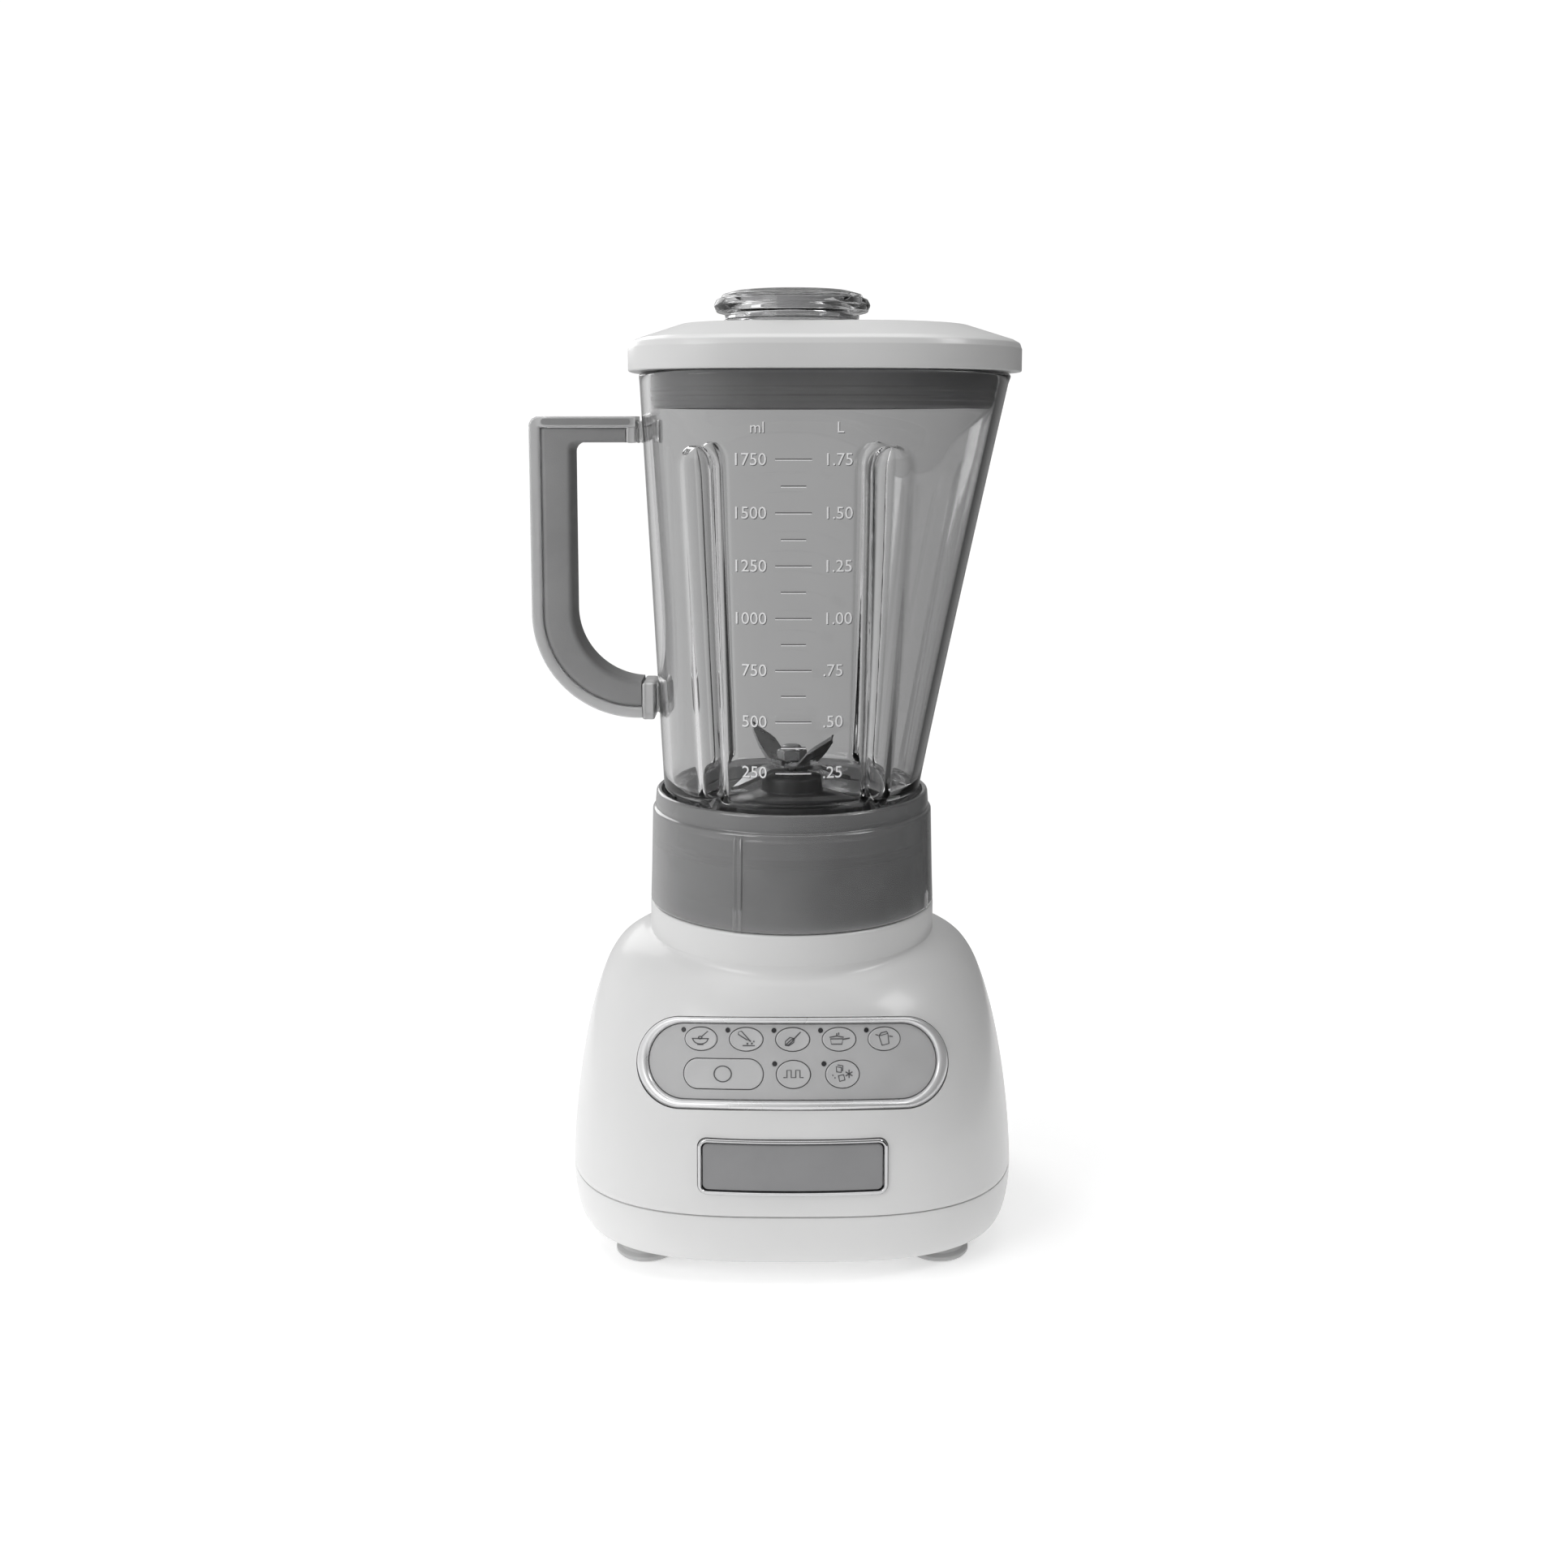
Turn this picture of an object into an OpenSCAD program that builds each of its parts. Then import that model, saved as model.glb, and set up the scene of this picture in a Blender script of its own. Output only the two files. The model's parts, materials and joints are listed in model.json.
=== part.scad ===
// Countertop blender: motor base, push-button panel, locking collar with blades, jar, lid and cap.
// +Z is up, the front is -Y, the handle is on -X and the spout on +X. The motor axis is the Z axis
// and the table is z = 0.

/* [Base] */
// Width of the base at its widest, near the seam
base_w = 190.4; // [184:0.2:200]
// Depth of the base at its widest
base_d = 176; // [172:1:184]
// Height of the seam between the two housings
seam_z = 30; // [28:1:32]
// Height of the neck's top face, where the jar assembly sits
neck_z = 138; // [137.8:0.1:138.2]
// Radius of the neck
neck_r = 62; // [61.5:0.1:62.5]
// Wall thickness of the housings
wall = 3; // [2.5:0.1:3.5]
// Underside of the lower housing above the table
floor_z = 8; // [7:0.5:9]

/* [Feet] */
// Distance of each foot from the middle, left to right
foot_x = 61; // [56:1:64]
// Distance of each foot from the middle, front to back
foot_y = 53; // [48:1:55]
// Radius of a foot's flange
foot_r = 12.8; // [11:0.1:14]

/* [Control panel] */
// Lean of the panel away from upright, in degrees
panel_tilt = 17.2; // [16:0.1:18]
// Radius that the panel bends round, left to right
panel_r = 135; // [130:1:140]
// Distance of the panel's face in front of the axis, at its middle
panel_y = 80.1; // [79.5:0.1:80.5]
// Height of the panel's middle
panel_z = 91.2; // [90.5:0.1:92]
// Distance between the buttons of the top row
button_pitch = 18.7; // [18:0.1:19.2]
// Width of a round button
button_w = 13.4; // [12:0.1:14]
// Gap round each button
button_gap = 0.35; // [0.3:0.05:0.4]
// How far a button can be pushed in
button_travel = 0.8; // [0.6:0.1:0.9]

/* [Badge] */
// Width of the blank badge's frame
badge_w = 76; // [70:1:80]
// Height of the badge's frame
badge_h = 22.9; // [20:0.1:24]
// Height of the badge's middle
badge_z = 51; // [50:0.5:52]

/* [Collar and blades] */
// Radius of the collar at its foot
collar_r = 61.9; // [61.5:0.1:62]
// Height of the collar's top edge
collar_top = 187; // [186.5:0.1:187.5]
// Radius of the blade shaft
blade_shaft_r = 4; // [3.5:0.1:4.5]
// Running clearance of the shafts in their bearings
running_fit = 0.05; // [0.03:0.01:0.08]

/* [Jar] */
// Radius of the jar just above the collar
jar_low_r = 55.8; // [55:0.1:56]
// Half width of the jar at its rim, without the spout
jar_rim_r = 64.4; // [63:0.1:66]
// How far the spout reaches past that half width
spout_reach = 28; // [20:1:30]
// Height of the jar's rim
jar_rim_z = 365.7; // [365:0.1:366]
// Wall thickness of the jar
jar_wall = 3.5; // [3:0.1:4]
// Depth of the four flutes
flute_depth = 6.5; // [4:0.5:8]
// Height where the flutes run out
flute_top = 336; // [306:5:341]

/* [Handle] */
// Distance of the grip's outer face from the axis
handle_x = 111; // [108:1:114]
// Thickness of the upright limb, outside to inside
handle_t = 17.8; // [16:0.1:20]
// Width of the handle, front to back
handle_w = 24; // [20:1:28]

/* [Lid and cap] */
// Height of the lid's flat top
lid_top = 386.2; // [386:0.1:387]
// Overhang of the lid past the jar's rim
lid_over = 4.6; // [4:0.1:6]
// Radius of the measuring cap's neck
cap_r = 26.7; // [25:0.1:28]
// Radius of the measuring cap's flange
cap_flange_r = 33.2; // [32:0.1:35]

/* [Motor] */
// Radius of the motor shaft
motor_shaft_r = 4; // [3.5:0.1:4.5]
// Radius of the armature's laminations
armature_r = 20.4; // [18:0.1:22]
// Height of the lamination stack
stack_h = 32; // [28:1:36]

/* [Hidden] */

white = [0.93, 0.93, 0.92];
satin = [0.80, 0.80, 0.80];
panel_grey = [0.70, 0.70, 0.71];
badge_grey = [0.55, 0.55, 0.56];
grip_grey = [0.52, 0.52, 0.53];
smoke = [0.40, 0.40, 0.42, 0.6];
clear = [0.80, 0.83, 0.85, 0.35];
rubber = [0.25, 0.25, 0.26];
steel = [0.62, 0.63, 0.65];
copper = [0.72, 0.43, 0.24];
board_green = [0.10, 0.35, 0.20];

ring_points = 64;       // points round each housing outline
jar_points = 96;        // points round each jar outline
split = 0.4;            // visible gap between the two housings
touch = 0.1;            // gap between neighbouring pieces of one body
$fn = 64;

// ---- outlines and lofts ----

shoulder_h = 96.1;      // height over which the base draws in from the seam to the neck
shoulder_w = 50;        // half width that the shoulder draws in to, hidden inside the neck
shoulder_d = 40;        // half depth that it draws in to
neck_blend = 5;         // softness of the hollow corner between shoulder and neck
blend_z = 95;           // height where that corner starts to matter
tuck_h = 23.5;          // height of the rounded edge below the seam
tuck_w = 6;             // how far that edge draws in at the sides
tuck_d = 10;            // and at the front and back

// Height above the seam as a share of the way to the neck.
function rise(z) = max(0, min(1, (z - seam_z) / shoulder_h));
// How far the edge below the seam has drawn in, 0 at the seam.
function tuck(z) = z >= seam_z ? 0 : 1 - sqrt(1 - pow((seam_z - z) / tuck_h, 2));
// Half width and half depth of the base at height z.
function half_w(z) =
    shoulder_w + (base_w / 2 - shoulder_w) * pow(1 - pow(rise(z), 1.6), 0.28) - tuck_w * tuck(z);
function half_d(z) =
    shoulder_d + (base_d / 2 - shoulder_d) * sqrt(1 - pow(rise(z), 3.2)) - tuck_d * tuck(z);
// Exponent of the outline: 3 is a soft square, 2 is an ellipse.
function squareness(z) = 3 - rise(z);
// Distance from the axis to the base's own outline in direction t.
function base_reach(t, z) =
    let (n = squareness(z), c = abs(cos(t)) / half_w(z), s = abs(sin(t)) / half_d(z))
        pow(pow(c, n) + pow(s, n), -1 / n);
// Softness of the hollow corner at height z, fading out above and below it.
function blend(z) = neck_blend * max(0, min(1, (z - blend_z) / 15, (seam_z + shoulder_h - z) / 8));
// The larger of two lengths, with a soft step from one to the other.
function soft_max(a, b, softness) = (a + b + sqrt(pow(a - b, 2) + pow(softness, 2))) / 2;
// Outline of the base at height z, shrunk by inset, never smaller than the neck.
function base_ring(z, inset) = [
    for (i = [0 : ring_points - 1])
        let (
            t = 360 * i / ring_points,
            own = base_reach(t, z),
            r = (z < blend_z ? own : soft_max(own, neck_r - 0.1, blend(z))) - inset
        )
            [r * cos(t), r * sin(t), z]
];

// Closed solid through a stack of rings, each with the same number of points.
module loft(rings) {
    n = len(rings[0]);
    last = len(rings) - 1;
    sides = [
        for (i = [0 : last - 1], j = [0 : n - 1])
            [i * n + j, (i + 1) * n + j, (i + 1) * n + (j + 1) % n, i * n + (j + 1) % n]
    ];
    bottom = [for (j = [0 : n - 1]) j];
    top = [for (j = [n - 1 : -1 : 0]) last * n + j];
    polyhedron([for (r = rings) each r], concat([bottom], sides, [top]), convexity = 6);
}

// Keeps the solid inside as one triangle mesh, for shells with no bore in them.
module shell() {
    resize([0, 0, 0]) children();
}

module tube(r_out, r_in, h) {
    difference() {
        cylinder(r = r_out, h = h);
        translate([0, 0, -1]) cylinder(r = r_in, h = h + 2);
    }
}

// Flat slot shape with round ends, w wide and h high.
module stadium(w, h) {
    r = h / 2;
    square([w - h, h], center = true);
    for (s = [-1, 1]) translate([s * (w / 2 - r), 0]) circle(r);
}

module round_rect(w, h, r) {
    square([w - 2 * r, h], center = true);
    square([w, h - 2 * r], center = true);
    for (x = [-1, 1], y = [-1, 1]) translate([x * (w / 2 - r), y * (h / 2 - r)]) circle(r);
}

module four_ways(x, y) {
    for (sx = [-1, 1], sy = [-1, 1]) translate([sx * x, sy * y, 0]) children();
}

// ---- base ----

upper_heights = [
    seam_z + split, 40, 52, 64, 75, 85, 93, 100, 105.5, 110, 113.5, 116.5, 119, 121, 122.7,
    124.1, 125.2, 126, 126.4
];
lower_heights = [floor_z, 9, 11, 14, 18, 23, seam_z];
post_x = 66;            // screw posts, left to right
post_y = 30;            // screw posts, front to back
post_r = 5;
screw_r = 2;
deck_z = neck_z - 4;    // underside of the deck on top of the neck
coupler_hole_r = 21;    // opening in the deck for the drive coupler
slab_reach = 80;        // size of the blanks that the curved slabs are cut from

// A curved slab with the panel's outline: w by h, from r_in to r_out of the panel's bend.
module panel_slab(w, h, r_in, r_out, lift = 0) {
    on_panel_plane()
        intersection() {
            translate([0, panel_r, -slab_reach / 2]) difference() {
                cylinder(r = r_out, h = slab_reach, $fn = 180);
                translate([0, 0, -1]) cylinder(r = r_in, h = slab_reach + 2, $fn = 180);
            }
            translate([0, 30, lift]) rotate([90, 0, 0]) linear_extrude(60) stadium(w, h);
        }
}

module on_panel_plane() {
    translate([0, -panel_y, panel_z]) rotate([-panel_tilt, 0, 0]) children();
}

// Places children on the panel's face, u along the bend and v up it, with +Z pointing outward.
module on_panel(u, v) {
    on_panel_plane()
        translate([0, panel_r, v])
            rotate([0, 0, u / panel_r * 180 / PI])
                translate([0, -panel_r, 0])
                    rotate([90, 0, 0]) children();
}

badge_bend = 280;       // radius that the badge bends round
badge_y = 87.9;         // distance of the badge's face in front of the axis
badge_tilt = 2.8;

module badge_slab(w, h, r, t_in, t_out) {
    translate([0, -badge_y, badge_z]) rotate([-badge_tilt, 0, 0])
        intersection() {
            translate([0, badge_bend, -slab_reach / 2]) difference() {
                cylinder(r = badge_bend + t_out, h = slab_reach, $fn = 360);
                translate([0, 0, -1]) cylinder(r = badge_bend - t_in, h = slab_reach + 2, $fn = 360);
            }
            translate([0, 20, 0]) rotate([90, 0, 0]) linear_extrude(40) round_rect(w, h, r);
        }
}

bezel_w = 127;          // straight width of the bezel's outline
bezel_h = 36;
plate_w = 116.5;        // straight width of the panel plate
plate_h = 29.4;

// One outline of the upper housing's inside, lower and further in where the shoulder lies flat.
function inside_ring(z) =
    let (flatness = pow(rise(z), 4))
        [for (p = base_ring(z, wall + flatness)) [p[0], p[1], z - wall * flatness]];

module upper_housing() {
    color(white) shell() difference() {
        union() {
            difference() {
                union() {
                    loft([for (z = upper_heights) base_ring(z, 0)]);
                    translate([0, 0, 100]) cylinder(r = neck_r, h = neck_z - 100, $fn = 96);
                }
                loft(concat(
                    [[for (p = base_ring(seam_z + split, wall)) [p[0], p[1], 20]]],
                    [for (z = upper_heights) inside_ring(z)]
                ));
                translate([0, 0, 98]) cylinder(r = neck_r - wall, h = deck_z - 98);
            }
            // thick seats for the bezel and the badge, and posts that the base screws go up into
            intersection() {
                loft([for (z = upper_heights) base_ring(z, 0)]);
                union() {
                    panel_slab(bezel_w + 6, bezel_h + 6, panel_r - 7, panel_r + 12);
                    badge_slab(badge_w + 6, badge_h + 5, 4, 5.5, 6);
                    four_ways(post_x, post_y)
                        translate([0, 0, seam_z + 1]) cylinder(r = post_r, h = 100, $fn = 24);
                }
            }
        }
        // openings: bezel, panel, badge, drive coupler, screws and cord
        panel_slab(bezel_w + 0.3, bezel_h + 0.3, panel_r - 3, panel_r + 14);
        panel_slab(plate_w + 2, plate_h + 2, panel_r - 12, panel_r + 14);
        badge_slab(badge_w + 0.3, badge_h + 0.3, 4, 2, 8);
        translate([0, 0, deck_z - 1]) cylinder(r = coupler_hole_r, h = 10);
        four_ways(post_x, post_y) translate([0, 0, 20]) cylinder(r = screw_r + 0.1, h = 32, $fn = 24);
    }
}

gland_z = 21;           // height of the cord's way out
gland_r = 7.2;          // radius of its hole in the rear wall
vent_count = 6;

module lower_housing() {
    color(white) shell() difference() {
        loft([for (z = lower_heights) base_ring(z, 0)]);
        difference() {
            loft(concat(
                [for (z = [floor_z + wall, 14, 18, 23]) base_ring(z, wall)],
                [for (z = [seam_z, 40]) [for (p = base_ring(seam_z, wall)) [p[0], p[1], z]]]
            ));
            four_ways(post_x, post_y) cylinder(r = post_r, h = seam_z + 0.2, $fn = 24);
        }
        four_ways(foot_x, foot_y) cylinder(r = 4.1, h = 20, $fn = 24);
        four_ways(post_x, post_y) {
            cylinder(r = screw_r + 0.1, h = 60, $fn = 24);
            translate([0, 0, 4]) cylinder(r = 4.2, h = 9, $fn = 24);
        }
        for (i = [0 : vent_count - 1])
            translate([-27.5 + 11 * i, 0, 0])
                translate([-2, -20, 0]) cube([4, 40, 20]);
        translate([0, 50, gland_z]) rotate([-90, 0, 0]) cylinder(r = gland_r, h = 60, $fn = 32);
    }
}

module foot() {
    rotate_extrude() polygon([
        [0, 0], [foot_r - 0.8, 0], [foot_r, 0.8], [foot_r, 2], [foot_r - 1.8, 3],
        [foot_r - 2.3, floor_z - touch], [4, floor_z - touch], [4, floor_z + wall + 0.2],
        [4.8, floor_z + wall + 0.2], [3, floor_z + wall + 3.5], [0, floor_z + wall + 3.5]
    ]);
}

module feet() {
    color(rubber) four_ways(foot_x, foot_y) foot();
}

module base_screws() {
    color(steel) four_ways(post_x, post_y) {
        difference() {
            translate([0, 0, 10]) cylinder(r = 3.8, h = 2.9);
            translate([-0.5, -3, 9]) cube([1, 6, 2.2]);
            translate([-3, -0.5, 9]) cube([6, 1, 2.2]);
        }
        translate([0, 0, 12.8]) cylinder(r = screw_r, h = 36);
    }
}

module jar_seat_pad() {
    color(rubber) {
        difference() {
            translate([0, 0, neck_z + touch]) cylinder(r = 54, h = 8);
            translate([0, 0, neck_z - 1]) cylinder(r = coupler_hole_r + 1, h = 12);
            for (i = [0 : 15])
                rotate([0, 0, 22.5 * i]) translate([34, -1.2, neck_z + 6.1]) cube([16, 2.4, 4]);
        }
    }
}

// Grommet in the rear wall. The mains cord that it would hold is not part of this model.
module cord_gland() {
    color(rubber)
        translate([0, half_d(gland_z), gland_z]) rotate([-90, 0, 0]) difference() {
            union() {
                translate([0, 0, -7]) cylinder(r = gland_r - touch, h = 8);
                translate([0, 0, 0.9]) cylinder(r = 9.5, h = 2.6);
                translate([0, 0, -9.5]) cylinder(r = 9.5, h = 3);
                translate([0, 0, 3.4]) cylinder(r1 = 7.6, r2 = 6.2, h = 5);
            }
            translate([0, 0, -20]) cylinder(r = 3.5, h = 40);
        }
}

// ---- control panel ----

top_v = 9.4;            // height of the top row up the panel
low_v = -4.2;           // height of the lower row
top_u = [for (i = [-2 : 2]) i * button_pitch];
off_u = -28.2;
pulse_u = 0.3;
ice_u = 20;
off_w = 32.6;
off_h = 11.6;
top_flat = 0.67;        // height of a top-row button as a share of its width
low_flat = 0.79;        // the same for the lower row
cap_t = 2.7;            // depth of a button's cap behind the panel's face
cap_rise = 0.3;         // how far a cap stands proud of that face
board_gap = 6.5;        // from the panel's face back to the board
board_skin = 0.15;      // gap between the board and what stands on it
stub_h = 0.7;           // length of the stub behind each button
switch_h = 1.5;         // height of a switch's body
// Height of a switch's plunger, so that a fully pressed button just clears it.
plunger_h = board_gap - board_skin - cap_t - stub_h - button_travel - switch_h - 0.05;
led_r = 0.9;

// Round buttons: place along the panel, place up it, and height as a share of width.
round_keys = concat(
    [for (u = top_u) [u, top_v, top_flat]],
    [[pulse_u, low_v, low_flat], [ice_u, low_v, low_flat]]
);
// Indicators sit up and left of every round button.
leds = [for (k = round_keys) [k[0] - 7.5, k[1] + (k[2] == top_flat ? 3.5 : 4.1)]];

module control_bezel() {
    color(satin) difference() {
        union() {
            panel_slab(bezel_w, bezel_h, panel_r - 2.8, panel_r + 0.8);
            panel_slab(bezel_w - 2.4, bezel_h - 2.4, panel_r + 0.7, panel_r + 1.8);
        }
        panel_slab(plate_w + 0.4, plate_h + 0.4, panel_r - 5, panel_r + 5, 0.6);
    }
}

module key_hole(k) {
    on_panel(k[0], k[1]) translate([0, 0, -8])
        scale([1, k[2], 1]) cylinder(r = button_w / 2 + button_gap, h = 12);
}

module control_panel() {
    color(panel_grey) difference() {
        panel_slab(plate_w, plate_h, panel_r - 2.2, panel_r, 0.6);
        for (k = round_keys) key_hole(k);
        on_panel(off_u, low_v) translate([0, 0, -8])
            linear_extrude(12) stadium(off_w + 2 * button_gap, off_h + 2 * button_gap);
        for (p = leds) on_panel(p[0], p[1]) translate([0, 0, -8]) cylinder(r = led_r + 0.1, h = 12);
    }
}

module button_board() {
    color(board_green)
        panel_slab(plate_w - 8, plate_h - 3, panel_r - board_gap - 1.6, panel_r - board_gap, 0.6);
}

module tact_switches() {
    color(steel) for (k = concat(round_keys, [[off_u, low_v, 1]]))
        on_panel(k[0], k[1]) translate([0, 0, board_skin - board_gap]) {
            translate([-3, -2.4, 0]) cube([6, 4.8, switch_h + 0.1]);
            translate([0, 0, switch_h]) cylinder(r = 1.5, h = plunger_h);
        }
}

module led_indicators() {
    color([0.25, 0.25, 0.26]) for (p = leds)
        on_panel(p[0], p[1]) translate([0, 0, board_skin - board_gap])
            cylinder(r = led_r, h = board_gap + 0.1);
}

// Cap of a round button, the lip that keeps it in and the stem that presses its switch.
module round_button(k) {
    color(panel_grey) on_panel(k[0], k[1]) {
        translate([0, 0, -cap_t]) scale([1, k[2], 1]) cylinder(r = button_w / 2, h = cap_t + cap_rise);
        translate([0, 0, -cap_t - 0.6]) scale([1, k[2], 1]) cylinder(r = button_w / 2 + 0.8, h = 0.6);
        translate([0, 0, -cap_t - stub_h]) cylinder(r = 1.6, h = stub_h + 0.3);
    }
}

module button_stir() { round_button(round_keys[0]); }
module button_chop() { round_button(round_keys[1]); }
module button_mix() { round_button(round_keys[2]); }
module button_puree() { round_button(round_keys[3]); }
module button_liquefy() { round_button(round_keys[4]); }
module button_pulse() { round_button(round_keys[5]); }
module button_ice() { round_button(round_keys[6]); }

// The wide off button bends with the panel.
module off_slab(grow, t_in, t_out) {
    on_panel_plane() intersection() {
        translate([0, panel_r, -slab_reach / 2]) difference() {
            cylinder(r = panel_r + t_out, h = slab_reach, $fn = 180);
            translate([0, 0, -1]) cylinder(r = panel_r - t_in, h = slab_reach + 2, $fn = 180);
        }
        translate([0, panel_r, low_v])
            rotate([0, 0, off_u / panel_r * 180 / PI])
                translate([0, 40 - panel_r, 0])
                    rotate([90, 0, 0]) linear_extrude(60)
                        stadium(off_w + 2 * grow, off_h + 2 * grow);
    }
}

module button_off() {
    color(panel_grey) {
        off_slab(0, cap_t, cap_rise);
        off_slab(0.8, cap_t + 0.6, -cap_t);
        on_panel(off_u, low_v) translate([0, 0, -cap_t - stub_h]) cylinder(r = 1.6, h = stub_h + 0.3);
    }
}

// ---- badge ----

badge_rim = 1.9;

module badge_frame() {
    color(satin) difference() {
        badge_slab(badge_w, badge_h, 4, 1.8, 1.2);
        badge_slab(badge_w - 2 * badge_rim, badge_h - 2 * badge_rim, 2.4, 3, 3);
    }
}

module badge_plate() {
    color(badge_grey) badge_slab(
        badge_w - 2 * badge_rim - 0.2, badge_h - 2 * badge_rim - 0.2, 2.3, 1.8, 0.3);
}

// ---- motor ----

stack_z = 58;           // underside of the lamination stack
coil_h = 7;             // height of a field coil's end turns
bore_gap = 0.6;         // air gap between armature and stator
lower_bearing_z = 27;
upper_bearing_z = 113;
bearing_h = 7;
bearing_r = 11;
commutator_z = 37;
commutator_r = 12;
fan_z = 99;
pillar_x = 38;          // pillars that hold the brackets to the stack

module stator_core() {
    color(steel) translate([0, 0, stack_z]) difference() {
        linear_extrude(stack_h) round_rect(84, 62, 10);
        translate([0, 0, -1]) cylinder(r = armature_r + bore_gap, h = stack_h + 2);
        for (s = [-1, 1]) translate([0, s * 16, -1])
            linear_extrude(stack_h + 2) square([30, 18], center = true);
        for (s = [-1, 1]) translate([s * 36, 0, -1]) cylinder(r = 2.2, h = stack_h + 2);
    }
}

module stator_coils() {
    color(copper) for (s = [-1, 1], z = [stack_z - coil_h - 1, stack_z + stack_h + 1])
        translate([0, s * 24.5, z]) linear_extrude(coil_h) round_rect(52, 7, 3);
}

// Cross arm with a cup for a bearing, held off the stack by four pillars.
module bracket(z_arm, z_pillar, pillar_h) {
    difference() {
        union() {
            translate([0, 0, z_arm]) linear_extrude(4) round_rect(86, 26, 6);
            translate([0, 0, z_arm]) cylinder(r = bearing_r + 3, h = bearing_h + 2);
        }
        translate([0, 0, z_arm + 2]) cylinder(r = bearing_r + 0.05, h = bearing_h + 2);
        translate([0, 0, z_arm - 1]) cylinder(r = motor_shaft_r + 2, h = 10);
    }
    for (s = [-1, 1]) translate([s * pillar_x, 0, z_pillar]) cylinder(r = 4, h = pillar_h);
}

module motor_bracket_lower() {
    color(steel) difference() {
        union() {
            bracket(lower_bearing_z - 2, lower_bearing_z + 1.9, stack_z - lower_bearing_z - 2);
            // cross arm that carries the brush holders
            translate([0, 0, lower_bearing_z - 2]) linear_extrude(4) round_rect(14, 76, 4);
        }
        translate([0, 0, lower_bearing_z]) cylinder(r = bearing_r + 0.05, h = 5);
        translate([0, 0, lower_bearing_z - 3]) cylinder(r = motor_shaft_r + 2, h = 10);
    }
}

// Rubber posts between the lower housing's floor and the motor.
module motor_mounts() {
    color(rubber) for (x = [-pillar_x, pillar_x], y = [-8, 8]) translate([x, y, floor_z + wall + touch])
        cylinder(r = 4.5, h = lower_bearing_z - 2 - floor_z - wall - 2 * touch);
}

module motor_bracket_upper() {
    color(steel) {
        translate([0, 0, 2 * upper_bearing_z + bearing_h]) mirror([0, 0, 1])
            bracket(upper_bearing_z - 2, upper_bearing_z + 1.9,
                upper_bearing_z + bearing_h - stack_z - stack_h - 2);
    }
}

module ball_bearing(z) {
    translate([0, 0, z]) {
        tube(bearing_r, 8.6, bearing_h);
        tube(6.4, motor_shaft_r + running_fit, bearing_h);
        translate([0, 0, 1]) tube(8.7, 6.3, bearing_h - 2);
    }
}

module bearing_lower() { color(steel) ball_bearing(lower_bearing_z); }
module bearing_upper() { color(steel) ball_bearing(upper_bearing_z); }

module brush_holders() {
    color([0.30, 0.24, 0.18]) for (s = [0, 1]) rotate([0, 0, 180 * s])
        difference() {
            union() {
                translate([0, 13, commutator_z]) linear_extrude(10) translate([-5, 0]) square([10, 24]);
                translate([-5, 30, lower_bearing_z + 2.1]) cube([10, 6, 10]);
            }
            translate([-3.2, 12, commutator_z + 2]) cube([6.4, 23, 6]);
        }
}

module carbon_brushes() {
    color([0.15, 0.15, 0.16]) for (s = [0, 1]) rotate([0, 0, 180 * s])
        translate([-3, commutator_r + 0.3, commutator_z + 2.2]) cube([6, 12, 5.6]);
}

spring_turns = 5;
spring_steps = 10;
spring_l = 9.4;

// Coil spring pushing a brush in, wound round the Y axis.
module coil_spring() {
    n = spring_turns * spring_steps;
    sides = 5;
    wire = 0.4;
    coil = 1.9;
    points = [
        for (i = [0 : n], j = [0 : sides - 1])
            let (a = 360 * i / spring_steps, b = 360 * j / sides, r = coil + wire * cos(b))
                [r * cos(a), spring_l * i / n + wire * sin(b), r * sin(a)]
    ];
    walls = [
        for (i = [0 : n - 1], j = [0 : sides - 1])
            let (k = (j + 1) % sides)
                [i * sides + j, i * sides + k, (i + 1) * sides + k, (i + 1) * sides + j]
    ];
    polyhedron(points, concat(
        [[for (j = [sides - 1 : -1 : 0]) j]], walls, [[for (j = [0 : sides - 1]) n * sides + j]]
    ));
}

module brush_springs() {
    color(steel) for (s = [0, 1]) rotate([0, 0, 180 * s])
        translate([0, commutator_r + 0.3 + 12 + 0.5, commutator_z + 5]) coil_spring();
}

board_y = 58;           // the speed board stands behind the motor

module speed_board() {
    color(board_green) translate([-30, board_y, floor_z + wall + touch]) cube([60, 1.6, 60]);
}

module power_board_parts() {
    color([0.2, 0.2, 0.22]) translate([0, board_y - touch, 0]) {
        translate([-24, -10, 40]) cube([14, 10, 22]);
        translate([-2, -8, 28]) cube([10, 8, 10]);
        translate([16, -6, 36]) cube([8, 6, 26]);
        translate([3, 0, 56]) rotate([90, 0, 0]) cylinder(r = 5, h = 9);
    }
}

module motor_shaft() {
    color(steel) translate([0, 0, 24.5]) cylinder(r = motor_shaft_r, h = 121.5);
}

slot_count = 12;

module armature_core() {
    color(steel) translate([0, 0, stack_z]) difference() {
        cylinder(r = armature_r, h = stack_h);
        translate([0, 0, -1]) cylinder(r = motor_shaft_r, h = stack_h + 2);
        for (i = [0 : slot_count - 1]) rotate([0, 0, 360 / slot_count * i])
            translate([armature_r - 6, -0.8, -1]) cube([8, 1.6, stack_h + 2]);
    }
}

module armature_windings() {
    color(copper) for (z = [stack_z - 8.1, stack_z + stack_h + 0.1])
        translate([0, 0, z]) rotate_extrude() polygon([
            [7, 0], [16, 0], [18, 2], [18, 6], [16, 8], [7, 8]
        ]);
}

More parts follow.
